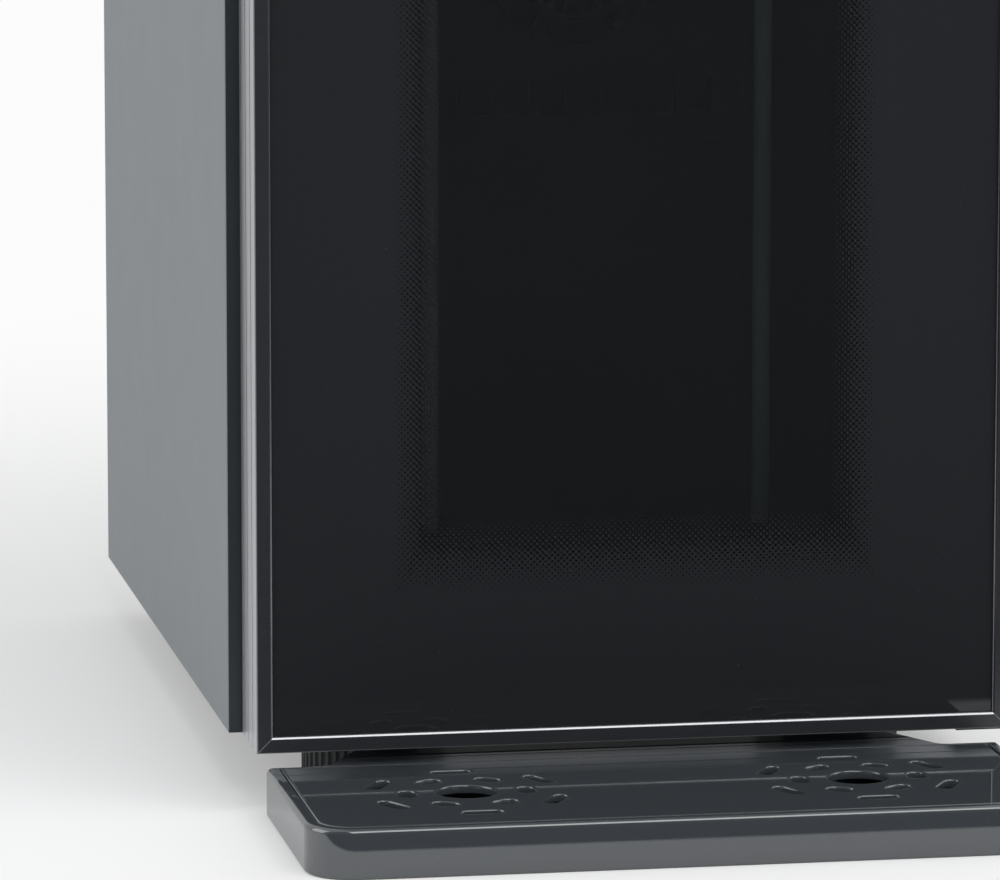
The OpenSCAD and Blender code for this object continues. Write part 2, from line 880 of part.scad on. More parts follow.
module stopper(side) {
    head_low_z = stopper_top_z - stopper_head_h;
    color("#3a3e41")
        translate([side * bottle_x, 0, 0])
            difference() {
                union() {
                    shaft_z(0, bottle_y, spigot_r, stopper_top_z, plunger_low_z + spigot_h);
                    shaft_z(0, bottle_y, stopper_head_r, head_low_z, stopper_top_z);
                    shaft_z(0, bottle_y, stopper_r, head_low_z - stopper_h, head_low_z);
                }
                shaft_z(0, bottle_y, dip_tube_r + set_gap, head_low_z - stopper_h - 1,
                    stopper_top_z - 2);
                shaft_z(0, bottle_y, waterway_r, head_low_z, plunger_low_z + spigot_h + 1);
            }
}

module stopper_left() {
    stopper(-1);
}

module stopper_right() {
    stopper(1);
}

module dip_tube(side) {
    color("#dfe6e8")
        translate([side * bottle_x, 0, 0])
            difference() {
                shaft_z(0, bottle_y, dip_tube_r, dip_low_z, stopper_top_z - 3);
                shaft_z(0, bottle_y, dip_tube_r - 1, dip_low_z - 1, stopper_top_z);
            }
}

module dip_tube_left() {
    dip_tube(-1);
}

module dip_tube_right() {
    dip_tube(1);
}

// ---------- Taps ----------

module valve_body() {
    block_y = [tap_y - 8, tap_y + 12];
    way_z = valve_z + 10;
    ear_front_y = pivot_y - 5;
    difference() {
        union() {
            block([-valve_half_w, valve_half_w], block_y, [valve_z, pivot_z - 4]);
            block([-valve_half_w, valve_half_w], [block_y[1] - 4, block_y[1]],
                [valve_z, valve_cap_z + valve_cap_t]);
            block([-valve_half_w, valve_half_w], block_y, [valve_cap_z, valve_cap_z + valve_cap_t]);
            for (m = [0, 1])
                mirror([m, 0, 0])
                    block([valve_half_w - valve_ear_t, valve_half_w], [ear_front_y, block_y[0] + 6],
                        [valve_z + 4, pivot_z + 6]);
            shaft_y(0, way_z, 3, block_y[1], block_y[1] + 8);
        }
        shaft_z(0, tap_y, stem_r + run_gap, valve_z + 4, pivot_z);
        shaft_z(0, tap_y, spout_bore_r - 1, valve_z - 1, valve_z + 6);
        shaft_x(pivot_y, pivot_z, lever_pin_r + run_gap, -20, 20);
        shaft_y(0, way_z, waterway_r, tap_y, block_y[1] + 9);
    }
}

module valve_bodies() {
    color("#c3c7ca")
        pair_x(tap_x)
            valve_body();
}

module valve_stem(side) {
    color("#a8adb0") {
        shaft_z(side * tap_x, tap_y, stem_r, valve_z + 8, spring_z + 4);
        shaft_z(side * tap_x, tap_y, 6.5, collar_z, spring_z);
    }
}

module valve_stem_left() {
    valve_stem(-1);
}

module valve_stem_right() {
    valve_stem(1);
}

module valve_spring(side) {
    color("#8e9396")
        difference() {
            shaft_z(side * tap_x, tap_y, 5.5, spring_z + set_gap, valve_cap_z - set_gap);
            shaft_z(side * tap_x, tap_y, 4, spring_z, valve_cap_z);
        }
}

module valve_spring_left() {
    valve_spring(-1);
}

module valve_spring_right() {
    valve_spring(1);
}

module spout() {
    low = spout_tip_z - head_z;
    tip_r = spout_bore_r + 1.3;
    cone_r = spout_bore_r + 2.4;
    collar_r = 9.8;
    translate([0, tap_y, head_z])
        rotate_extrude()
            polygon([
                [spout_bore_r, low], [tip_r, low], [tip_r + 0.5, low + 1], [cone_r, low + 14],
                [collar_r - 0.8, low + 18], [collar_r, low + 19], [collar_r, -set_gap],
                [spout_neck_r, -set_gap], [spout_neck_r, head_wall], [spout_bore_r, head_wall]
            ]);
}

module spouts() {
    color("#c8ccd0")
        pair_x(tap_x)
            spout();
}

module tap_lever(side) {
    paddle_y = head_front_y - 12;
    paddle_t = 5;
    paddle_w = 22;
    paddle_h = 54;
    arm_half = 5;
    tail_half_w = valve_half_w - valve_ear_t - 1;
    fork_half_w = stem_r + 0.6;
    color("#1a1c1e")
        translate([side * tap_x, 0, 0])
            difference() {
                union() {
                    shaft_x(pivot_y, pivot_z, hub_r, -tail_half_w - 0.5, tail_half_w + 0.5);
                    block([-arm_half, arm_half], [paddle_y + 2, pivot_y], [pivot_z - 4, pivot_z + 4]);
                    translate([0, 0, pivot_z + paddle_h / 3])
                        upright(paddle_y, paddle_y + paddle_t)
                            round_rect(paddle_w, paddle_h, paddle_w / 2 - 0.1);
                    block([-tail_half_w, tail_half_w], [pivot_y, pivot_y + tail_reach],
                        [pivot_z + 1, collar_z - set_gap]);
                }
                block([-fork_half_w, fork_half_w], [tap_y - 5, tap_y + 10],
                    [pivot_z - 5, collar_z + 1]);
                shaft_x(pivot_y, pivot_z, lever_pin_r + run_gap, -20, 20);
            }
}

module lever_left() {
    tap_lever(-1);
}

module lever_right() {
    tap_lever(1);
}

module lever_pins() {
    color("#b0b5b8")
        pair_x(tap_x)
            shaft_x(pivot_y, pivot_z, lever_pin_r, -valve_half_w - 1, valve_half_w + 1);
}

// ---------- Head ----------

// Side outline of the head, shrunk by a wall
module head_profile(wall) {
    foot_r = 10;
    brow_r = 16;
    back = front_y + frame_lip;
    foot_c = [head_face_y(head_z + foot_r) + foot_r / cos(head_lean), head_z + foot_r];
    brow_c = [head_face_y(total_h - brow_r) + brow_r / cos(head_lean), total_h - brow_r];
    polygon(concat(
        [[back, head_z + wall]],
        arc(foot_c, foot_r - wall, 270, 180 - head_lean),
        arc(brow_c, brow_r - wall, 180 - head_lean, 90),
        [[back, total_h - wall]]
    ));
}

module along_x(half) {
    translate([-half, 0, 0])
        rotate([90, 0, 90])
            linear_extrude(2 * half)
                children();
}

module head_shell() {
    slot_drop = (pivot_y - head_front_y) * sin(lever_turn) + 5 / cos(lever_turn) + 1.5;
    color("#15171a") {
        difference() {
            along_x(half_w)
                head_profile(0);
            along_x(half_w - head_wall)
                head_profile(head_wall);
            block([-half_w + head_wall, half_w - head_wall], [front_y, front_y + frame_lip + 1],
                [head_z + head_wall, total_h - head_wall]);
            pair_x(tap_x) {
                shaft_z(0, tap_y, spout_neck_r + 0.2, head_z - 1, head_z + head_wall + 1);
                block([-6.5, 6.5], [head_front_y - 5, pivot_y], [pivot_z - slot_drop, pivot_z + 6]);
            }
            on_head_face() {
                translate([0, panel_mid_h, -panel_sink])
                    linear_extrude(6)
                        round_rect(panel_w + 0.4, panel_h + 0.4, 4.2);
                translate([0, panel_mid_h, -head_wall - 1])
                    linear_extrude(head_wall + 1)
                        square([2 * pillar_x - 16, panel_h - 10], center = true);
            }
        }
        // pillars for the control board, each with a peg
        on_head_face()
            for (x = [-pillar_x, pillar_x], dh = [-pillar_dh, pillar_dh])
                translate([x, panel_mid_h + dh, -head_wall + 0.1]) {
                    mirror([0, 0, 1])
                        cylinder(h = board_depth - board_t - head_wall, r = 3.5);
                    mirror([0, 0, 1])
                        cylinder(h = board_depth - head_wall + 0.5, r = 1.2);
                }
    }
}

module control_panel() {
    color("#0e1012")
        on_head_face()
            difference() {
                translate([0, panel_mid_h, set_gap - panel_sink])
                    linear_extrude(panel_sink + panel_out - set_gap)
                        round_rect(panel_w, panel_h, 4);
                for (x = button_xs)
                    translate([x, button_row_h, -3])
                        cylinder(h = 6, r = button_r + 0.3);
            }
}

module push_button(x) {
    color("#c6cacd")
        on_head_face()
            translate([x, button_row_h, -button_foot]) {
                cylinder(h = button_foot + panel_out + button_travel + 0.4, r = button_r);
                cylinder(h = 1.5, r = button_r + 1.5);
            }
}

module button_power() {
    push_button(button_xs[0]);
}

module button_light() {
    push_button(button_xs[1]);
}

module button_colder() {
    push_button(button_xs[2]);
}

module button_warmer() {
    push_button(button_xs[3]);
}

module control_board() {
    face = -board_depth + board_t;
    color("#1f6b45")
        on_head_face()
            difference() {
                union() {
                    translate([0, panel_mid_h, -board_depth])
                        linear_extrude(board_t)
                            square([2 * pillar_x + 12, 2 * pillar_dh + 12], center = true);
                    translate([0, display_h, face])
                        linear_extrude(-face - panel_sink)
                            square([60, 14], center = true);
                    for (x = button_xs)
                        translate([x, button_row_h, face])
                            cylinder(h = -face - button_foot - button_travel - 0.3, r = 3);
                    for (x = [-28, 28])
                        translate([x, panel_mid_h, -board_depth - 4])
                            linear_extrude(4)
                                square([24, 12], center = true);
                }
                for (x = [-pillar_x, pillar_x], dh = [-pillar_dh, pillar_dh])
                    translate([x, panel_mid_h + dh, -board_depth - 1])
                        cylinder(h = board_t + 2, r = 1.2 + set_gap);
            }
}

// ---------- Door ----------

// One upright bar of a picture frame at +X, its section given as [inwards, backwards]
module mitred_bar(half_len, half_w, section, mitre_gap) {
    reach = 40;
    intersection() {
        translate([0, 0, -half_len])
            linear_extrude(2 * half_len)
                polygon([for (p = section) [half_w - p[0], p[1]]]);
        upright(-1, door_t + 1)
            polygon([
                [half_w + 1, -half_len - 1 + mitre_gap], [half_w + 1, half_len + 1 - mitre_gap],
                [half_w - reach, half_len - reach - mitre_gap],
                [half_w - reach, -half_len + reach + mitre_gap]
            ]);
    }
}

// The four bars of a frame as large as the door
module door_ring(section, mitre_gap = 0) {
    translate([0, door_y, door_mid_z]) {
        for (m = [0, 1]) {
            mirror([m, 0, 0])
                mitred_bar(door_h / 2, door_half_w, section, mitre_gap);
            mirror([0, 0, m])
                rotate([0, -90, 0])
                    mitred_bar(door_half_w, door_h / 2, section, mitre_gap);
        }
    }
}

// Edge profile: a grooved outer wall and a flange behind that carries the gasket
function profile_section() = concat(
    [[0, 0.6]],
    [for (v = groove_vs, p = [[0, -1], [1, -1], [1, 1], [0, 1]])
        [p[0] * groove_deep, v + p[1] * groove_w / 2]],
    [
        [0, door_t], [flange_w, door_t], [flange_w, door_t - flange_t],
        [profile_t, door_t - flange_t], [profile_t, 0.6]
    ]
);

module door_profiles() {
    color("#b9bec6")
        difference() {
            door_ring(profile_section(), 0.1);
            for (z = [door_z - 1, door_top_z - 5])
                shaft_z(hinge_x, hinge_y, hinge_pin_r + 0.2, z, z + 6);
        }
}

module door_bezel() {
    color("#17191c")
        door_ring([
            [0, 0], [bezel_w - 1.2, 0], [bezel_w, 1.2], [bezel_w, lip_t],
            [glazing_edge - 0.1, lip_t], [glazing_edge - 0.1, glazing_back],
            [profile_t + set_gap, glazing_back], [profile_t + set_gap, 0.5], [0, 0.5]
        ]);
}

// A pane that fills the bezel, from depth v0 to v1 behind the door's front face
module pane(v0, v1, edge) {
    block([-door_half_w + edge, door_half_w - edge], [door_y + v0, door_y + v1],
        [door_z + edge, door_top_z - edge]);
}

module door_outer_glass() {
    color("#24272b", 0.6)
        pane(lip_t, lip_t + glass_t, glazing_edge);
}

module door_inner_glass() {
    color("#30343a", 0.4)
        pane(glazing_back - inner_glass_t, glazing_back, glazing_edge);
}

module door_spacer() {
    v = lip_t + glass_t;
    color("#9a9fa4")
        difference() {
            pane(v, v + glazing_gap, glazing_edge + 0.5);
            pane(v - 1, v + glazing_gap + 1, glazing_edge + 9);
        }
}

module corner_keys() {
    key_w = 12;
    key_h = 14;
    inset = profile_t + 0.3;
    color("#202326")
        difference() {
            for (sx = [-1, 1], sz = [-1, 1])
                translate([sx * (door_half_w - inset - key_w / 2), 0,
                    door_mid_z + sz * (door_h / 2 - inset - key_h / 2)])
                    block([-key_w / 2, key_w / 2],
                        [door_y + glazing_back + 1, door_back_y - flange_t - set_gap],
                        [-key_h / 2, key_h / 2]);
            shaft_z(hinge_x, hinge_y, hinge_pin_r + run_gap, door_z, door_top_z);
        }
}

module door_gasket() {
    outer = 8;
    inner = 15;
    color("#1a1b1c")
        difference() {
            block([-door_half_w + outer, door_half_w - outer], [door_back_y, front_y - 0.2],
                [door_z + outer, door_top_z - outer]);
            block([-door_half_w + inner, door_half_w - inner], [door_back_y - 1, front_y],
                [door_z + inner, door_top_z - inner]);
        }
}

module hinge_brackets() {
    plate_t = 3;
    pin_h = 12;
    play = 0.3;
    plate_x = [hinge_x - 8, door_half_w + 2];
    plate_y = hinge_y - 8;
    low_z = foot_h - play - plate_t;
    high_z = door_top_z + play;
    color("#4a4e52") {
        // lower bracket, fixed under the front frame
        block(plate_x, [plate_y, frame_back_y], [low_z, low_z + plate_t]);
        block(plate_x, [front_y + 1, frame_back_y], [low_z, foot_h - set_gap]);
        shaft_z(hinge_x, hinge_y, hinge_pin_r, low_z, foot_h + pin_h);
        // upper bracket, screwed to the front frame above the door
        difference() {
            union() {
                block(plate_x, [plate_y, front_y], [high_z, high_z + plate_t]);
                block(plate_x, [front_y - bracket_t, front_y], [high_z, bracket_screw_zs[1] + 6]);
            }
            for (z = bracket_screw_zs)
                shaft_y(bracket_x, z, screw_r + set_gap, front_y - 5, front_y + 1);
        }
        shaft_z(hinge_x, hinge_y, hinge_pin_r, door_top_z - pin_h, high_z + plate_t);
    }
}

// ---------- Drip tray ----------

// Plan of the tray, shrunk by an inset; its straight rear edge is below the door's front face
module tray_plan(inset) {
    half = tray_w / 2 - inset;
    front = tray_front_y + inset;
    rear = door_y - inset;
    corner = tray_corner_r - inset;
    root = tongue_w / 2 - inset / sin(tongue_angle) + inset / tan(tongue_angle);
    side = 180 - tongue_angle;
    fillet = tongue_fillet_r + inset;
    centre = [root, rear] + fillet / sin(side / 2) * [cos(side / 2), sin(side / 2)];
    flank = concat(
        [[centre[0], rear - corner]],
        arc(centre, fillet, 270, side + 90),
        [[root - tongue_depth / tan(tongue_angle), rear + tongue_depth]]
    );
    translate([-half, front + corner])
        square([2 * half, rear - front - corner]);
    translate([-half + corner, front])
        square([2 * (half - corner), 2 * corner]);
    pair_x(half - corner)
        translate([0, front + corner])
            circle(corner);
    polygon(concat(flank, [for (k = [len(flank) - 1 : -1 : 0]) [-flank[k][0], flank[k][1]]]));
}

// The part of that plan that lies clear in front of the door
module tray_front(inset, door_clear) {
    intersection() {
        tray_plan(inset);
        translate([-tray_w / 2, tray_front_y])
            square([tray_w, tray_depth - door_clear]);
    }
}

module tray_basin() {
    color("#1b1d20")
        difference() {
            linear_extrude(tray_h)
                tray_plan(0);
            translate([0, 0, tray_h - cover_t])
                linear_extrude(cover_t + 1)
                    tray_front(rim_w, cover_door_gap - 0.4);
            translate([0, 0, floor_t])
                linear_extrude(tray_h)
                    tray_front(rim_w + ledge_w, cover_door_gap + ledge_w);
            // pocket under the tongue
            translate([0, 0, -1])
                linear_extrude(tray_h - floor_t + 1)
                    intersection() {
                        tray_plan(rim_w);
                        translate([-tray_w / 2, door_y + rim_w])
                            square([tray_w, tongue_depth]);
                    }
        }
}

module drain_slot(radius, length, width, a) {
    rotate(a)
        translate([radius, 0]) {
            square([width, length - width], center = true);
            for (s = [-1, 1])
                translate([0, s * (length - width) / 2])
                    circle(width / 2);
        }
}

module rosette() {
    circle(rosette_hole_r);
    for (k = [0 : 5]) {
        drain_slot(inner_ring_r, 9.5, 6, k * 60);
        drain_slot(outer_ring_r, 13.5, 5, k * 60 + 30);
    }
}

module tray_cover() {
    color("#222528")
        translate([0, 0, tray_h - cover_t])
            linear_extrude(cover_t)
                difference() {
                    tray_front(rim_w + 0.4, cover_door_gap);
                    pair_x(tap_x)
                        translate([0, tap_y])
                            rosette();
                }
}

// ---------- Back ----------

module power_inlet() {
    color("#17191b")
        difference() {
            union() {
                block([inlet_x - inlet_half_w, inlet_x + inlet_half_w], [back_y - 24, back_y - 1],
                    [inlet_z - inlet_half_h, inlet_z + inlet_half_h]);
                block([inlet_x - inlet_half_w - 4, inlet_x + inlet_half_w + 4],
                    [back_y - 1.2, back_y + 1.5],
                    [inlet_z - inlet_half_h - 4, inlet_z + inlet_half_h + 4]);
            }
            block([inlet_x - 12, inlet_x + 12], [back_y - 18, back_y + 2],
                [socket_z - 8.5, socket_z + 8.5]);
            block([inlet_x - rocker_half_w - 0.4, inlet_x + rocker_half_w + 0.4],
                [back_y - 14, back_y + 2],
                [rocker_z - rocker_half_h - 0.9, rocker_z + rocker_half_h + 0.9]);
        }
    color("#b0b5b8") {
        for (x = [-7, 0, 7])
            block([inlet_x + x - 1, inlet_x + x + 1], [back_y - 19, back_y - 4],
                [socket_z - 4.5, socket_z - 0.5]);
        shaft_x(rocker_y, rocker_z, rocker_pin_r, inlet_x - rocker_half_w - 1, inlet_x + rocker_half_w + 1);
    }
}

module rocker_switch() {
    color("#8c1f1c")
        translate([inlet_x, rocker_y, rocker_z])
            rotate([-rocker_tilt, 0, 0])
                difference() {
                    intersection() {
                        shaft_x(-6, 0, 11.5, -rocker_half_w, rocker_half_w);
                        block([-rocker_half_w, rocker_half_w], [-4, 8],
                            [-rocker_half_h, rocker_half_h]);
                    }
                    shaft_x(0, 0, rocker_pin_r + run_gap, -20, 20);
                }
}

module panel_screw(x, z, y, toward) {
    translate([x, y, z])
        rotate([toward * 90, 0, 0]) {
            difference() {
                cylinder(h = screw_head_h, r = screw_head_r);
                translate([0, 0, screw_head_h])
                    cube([5, 1, 2], center = true);
                translate([0, 0, screw_head_h])
                    cube([1, 5, 2], center = true);
            }
            translate([0, 0, -7])
                cylinder(h = 7.5, r = screw_r);
        }
}

module screws() {
    color("#9ea2a5") {
        for (z = rear_screw_zs, side = [-1, 1])
            panel_screw(side * rear_screw_x, z, back_y, -1);
        for (z = bracket_screw_zs)
            panel_screw(bracket_x, z, front_y - bracket_t, 1);
    }
}

feet();
base_pan();
side_panel_left();
side_panel_right();
front_frame();
rear_panel();
top_cover();
deck_plate();
inner_liner();
foam_insulation();
bottle_coasters();
chamber_lamp();
cold_sink();
cold_cover();
cold_fan_rotor();
peltier_module();
hot_sink();
hot_fan_frame();
hot_fan_rotor();
power_supply();
control_board();
gas_regulator();
regulator_knob();
gas_manifold();
hoses();
dock_housings();
dock_plunger_left();
dock_plunger_right();
stopper_left();
stopper_right();
dip_tube_left();
dip_tube_right();
valve_bodies();
valve_stem_left();
valve_stem_right();
valve_spring_left();
valve_spring_right();
spouts();
lever_left();
lever_right();
lever_pins();
head_shell();
control_panel();
button_power();
button_light();
button_colder();
button_warmer();
door_outer_glass();
door_inner_glass();
door_spacer();
door_bezel();
door_profiles();
corner_keys();
door_gasket();
hinge_brackets();
tray_basin();
tray_cover();
power_inlet();
rocker_switch();
screws();
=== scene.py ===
"""Looks of a countertop dispenser with two taps: its finishes, and the pieces that are shaped more
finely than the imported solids. Finishes, stage, lamps and camera are in metres. Pieces are drawn in
millimetres, and scaled when they are done."""

import json
import math

import bmesh
import bpy
from mathutils import Matrix, Vector
from mathutils.geometry import delaunay_2d_cdt


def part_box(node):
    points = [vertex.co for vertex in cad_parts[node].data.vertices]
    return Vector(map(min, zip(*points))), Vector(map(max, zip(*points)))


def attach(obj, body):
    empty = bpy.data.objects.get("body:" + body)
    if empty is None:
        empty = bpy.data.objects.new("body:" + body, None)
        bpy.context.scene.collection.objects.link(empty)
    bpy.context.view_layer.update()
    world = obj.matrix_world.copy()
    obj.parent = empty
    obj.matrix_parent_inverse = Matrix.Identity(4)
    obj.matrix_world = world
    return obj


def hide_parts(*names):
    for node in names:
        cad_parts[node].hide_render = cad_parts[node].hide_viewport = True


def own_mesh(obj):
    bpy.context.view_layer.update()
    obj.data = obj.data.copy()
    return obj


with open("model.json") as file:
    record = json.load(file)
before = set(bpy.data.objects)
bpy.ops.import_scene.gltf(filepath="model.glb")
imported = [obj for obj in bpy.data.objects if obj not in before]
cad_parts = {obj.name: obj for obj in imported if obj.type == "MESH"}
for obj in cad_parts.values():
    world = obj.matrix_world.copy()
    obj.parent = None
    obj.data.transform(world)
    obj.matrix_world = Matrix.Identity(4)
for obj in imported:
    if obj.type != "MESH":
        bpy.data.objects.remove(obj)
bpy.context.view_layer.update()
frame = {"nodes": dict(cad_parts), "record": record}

MM = 0.001
# The door's outline and the plane of its front, in mm. Its finishes go by these as well.
DOOR_HALF_W, DOOR_LOW_Z, DOOR_HIGH_Z, DOOR_Y = 120.0, 20.0, 400.0, -133.0


# ---------- Nodes of a material ----------


class Value:
    """One socket of a material's nodes, which can stand in a sum."""

    def __init__(self, maker, socket):
        self.maker = maker
        self.socket = socket

    def maths(self, operation, first, second=0.0):
        return self.maker.node("Math", {"operation": operation}, {0: first, 1: second})

    def __add__(self, other):
        return self.maths("ADD", self, other)

    def __sub__(self, other):
        return self.maths("SUBTRACT", self, other)

    def __rsub__(self, other):
        return self.maths("SUBTRACT", other, self)

    def __mul__(self, other):
        return self.maths("MULTIPLY", self, other)

    def __truediv__(self, other):
        return self.maths("DIVIDE", self, other)

    def __pow__(self, other):
        return self.maths("POWER", self, other)

    __radd__ = __add__
    __rmul__ = __mul__

    def size(self):
        """How far the value is from 0."""
        return self.maths("ABSOLUTE", self)

    def wave(self):
        """Its cosine."""
        return self.maths("COSINE", self)

    def least(self, other):
        return self.maths("MINIMUM", self, other)

    def most(self, other):
        return self.maths("MAXIMUM", self, other)

    def step(self, low, high):
        """0 at low and 1 at high, with a soft change between them. Low may be the larger one."""
        return self.maker.node(
            "MapRange", {"interpolation_type": "SMOOTHSTEP"},
            {"Value": self, "From Min": low, "From Max": high, "To Min": 0.0, "To Max": 1.0})


class Maker:
    """Makes and joins the nodes of one tree."""

    def __init__(self, tree):
        self.tree = tree

    def node(self, kind, settings=None, inputs=None, output=0):
        """One output of a new node. Its settings are made first, and then its inputs."""
        made = self.tree.nodes.new("ShaderNode" + kind)
        for name, value in (settings or {}).items():
            setattr(made, name, value)
        for name, value in (inputs or {}).items():
            self.join(value, made.inputs[name])
        return Value(self, made.outputs[output])

    def join(self, value, socket):
        """Links a value to a socket, or writes a number, vector or colour in it."""
        if isinstance(value, Value):
            self.tree.links.new(value.socket, socket)
        elif isinstance(value, tuple) and len(socket.default_value) == 4:
            socket.default_value = (*value, 1.0)
        else:
            socket.default_value = value

    def place(self):
        """The point of the surface, in metres."""
        return self.node("TexCoord", output="Object")

    def along(self, vector=None):
        """The x, y and z of a vector, or of the point of the surface."""
        split = self.node("SeparateXYZ", inputs={0: vector or self.place()})
        return [Value(self, s) for s in split.socket.node.outputs]

    def vector(self, x, y, z):
        return self.node("CombineXYZ", inputs={0: x, 1: y, 2: z})

    def stretched(self, x, y, z):
        """The point of the surface, with each axis multiplied."""
        return self.node("VectorMath", {"operation": "MULTIPLY"},
                         {0: self.place(), 1: Vector((x, y, z))})

    def noise(self, scale, detail=2.0, roughness=0.5, at=None):
        return self.node("TexNoise", inputs={
            "Vector": at or self.place(), "Scale": scale, "Detail": detail,
            "Roughness": roughness})

    def cells(self, scale, at=None, randomness=1.0, output="Distance"):
        return self.node("TexVoronoi", inputs={
            "Vector": at or self.place(), "Scale": scale, "Randomness": randomness}, output=output)

    def mix(self, share, first, second):
        """The first colour where share is 0 and the second where it is 1."""
        return self.node("Mix", {"data_type": "RGBA"}, {0: share, 6: first, 7: second}, output=2)

    def shader_mix(self, share, first, second):
        return self.node("MixShader", inputs={0: share, 1: first, 2: second})

    def bump(self, height, depth, normal=None):
        """Relief of a height between 0 and 1, with its depth in metres."""
        inputs = {"Height": height, "Distance": depth, "Strength": 1.0}
        if normal is not None:
            inputs["Normal"] = normal
        return self.node("Bump", inputs=inputs)

    def soft_edges(self, radius):
        """A normal that turns smoothly round sharp edges."""
        return self.node("Bevel", {"samples": 4}, {"Radius": radius})

    def rays(self):
        """1 for the camera's rays, for reflections and for rays through glass, and else 0."""
        path = self.node("LightPath").socket.node.outputs
        return [Value(self, path["Is %s Ray" % kind])
                for kind in ("Camera", "Glossy", "Transmission")]


class Finish(Maker):
    """One material of the object, with its Principled shader."""

    def __init__(self, name, colour=(0.5, 0.5, 0.5), roughness=0.5, **surface):
        self.material = bpy.data.materials.new(name)
        self.material.use_nodes = True
        super().__init__(self.material.node_tree)
        self.shader = self.tree.nodes["Principled BSDF"]
        self.set(base_color=colour, roughness=roughness, **surface)

    def set(self, **surface):
        """Sets or links the shader's sockets, whose names are written with underscores."""
        names = {"ior": "IOR", "specular_ior_level": "Specular IOR Level"}
        for name, value in surface.items():
            self.join(value, self.shader.inputs[names.get(name, name.replace("_", " ").title())])

    def surface(self):
        return Value(self, self.shader.outputs[0])

    def show(self, shader):
        self.join(shader, self.tree.nodes["Material Output"].inputs["Surface"])


# ---------- Finishes ----------

INLET_X = -0.080            # middle of the mains inlet and of its rocker
KNOB_BLACK, INLET_BLACK = (0.012, 0.0125, 0.0135), (0.011, 0.0112, 0.012)
ROCKER_RED = (0.20, 0.008, 0.006)


def shade(colour, times, more=0.0):
    """A colour made lighter or darker."""
    return tuple(c * times + more for c in colour)


def painted(name, colour, roughness, peel=0.6):
    """Satin coat on sheet metal: faint orange peel, faint cloudiness, soft folded edges."""
    f = Finish(name, roughness=roughness, specular_ior_level=0.22)
    cloud = f.noise(9.0, 3.0)
    dust = f.cells(420.0).step(0.05, 0.025)
    f.set(base_color=f.mix(cloud * 0.5 + dust * 0.12, colour, shade(colour, 1.07, 0.004)),
          roughness=roughness + 0.07 * (f.noise(55.0, 4.0) - 0.5),
          normal=f.bump(f.noise(1500.0, 2.0), 0.00001 * peel, f.soft_edges(0.0008)))
    return f


def gloss(name, colour, roughness, edge=0.0006, shine=0.55, ior=1.5):
    """Polished moulding: fine wiping marks in its shine and a few specks of dust."""
    f = Finish(name, roughness=roughness, specular_ior_level=shine, ior=ior)
    wipes = f.noise(38.0, 5.0, 0.65, f.stretched(1.0, 2.5, 1.0))
    speck = f.cells(330.0).step(0.045, 0.02) * f.noise(60.0, 2.0).step(0.52, 0.62)
    f.set(base_color=f.mix(speck * 0.45, colour, (0.32, 0.33, 0.34)),
          roughness=roughness + 0.035 * wipes.step(0.4, 0.75) + 0.4 * speck,
          normal=f.bump(f.noise(900.0, 1.0), 0.000002, f.soft_edges(edge)))
    return f


def moulded(name, colour, roughness, grain=900.0, depth=0.00003):
    """Plastic from an eroded mould: fine even grain."""
    f = Finish(name, roughness=roughness)
    fine = f.noise(grain, 3.0, 0.6)
    f.set(base_color=f.mix(f.noise(14.0, 3.0) * 0.6, colour, shade(colour, 1.25, 0.006)),
          roughness=roughness + 0.12 * (fine - 0.5),
          normal=f.bump(fine, depth, f.soft_edges(0.0005)))
    return f


def rubber(name, colour, roughness=0.62):
    """Soft rubber: a bloom of grey on a fine grain."""
    f = Finish(name, roughness=roughness, sheen_weight=0.15, sheen_roughness=0.5)
    bloom = f.noise(26.0, 4.0, 0.6)
    f.set(base_color=f.mix(bloom.step(0.35, 0.8) * 0.5, colour, shade(colour, 1.7, 0.012)),
          roughness=roughness + 0.15 * (bloom - 0.5),
          normal=f.bump(f.noise(700.0, 3.0), 0.00003, f.soft_edges(0.0005)))
    return f


def brushed(name, colour, roughness, grain=(1.0, 1.0, 40.0), spread=0.14):
    """Metal with the fine lines of its brushing, drawing or turning."""
    f = Finish(name, roughness=roughness, metallic=1.0)
    lines = f.noise(60.0, 4.0, 0.7, f.stretched(*grain))
    f.set(base_color=f.mix(lines, shade(colour, 0.82), colour),
          roughness=roughness + spread * (lines - 0.5),
          normal=f.bump(lines, 0.000006, f.soft_edges(0.0004)))
    return f


def door_edge():
    """Silk anodised extrusion: drawing lines along each bar."""
    f = Finish("Silver anodised door edge", roughness=0.34, metallic=1.0)
    x, y, z = f.along()
    bar_w = 3.0
    upright = (x.size() - (DOOR_HALF_W - bar_w) * MM).step(0.0, 0.001)
    across = f.noise(60.0, 4.0, 0.7, f.stretched(1.5, 45.0, 45.0))
    along = f.noise(60.0, 4.0, 0.7, f.stretched(45.0, 45.0, 1.5))
    lines = upright * along + (1.0 - upright) * across
    f.set(base_color=f.mix(lines, (0.50, 0.515, 0.54), (0.66, 0.675, 0.70)),
          roughness=0.30 + 0.12 * lines,
          normal=f.bump(lines, 0.000005, f.soft_edges(0.00025)))
    return f


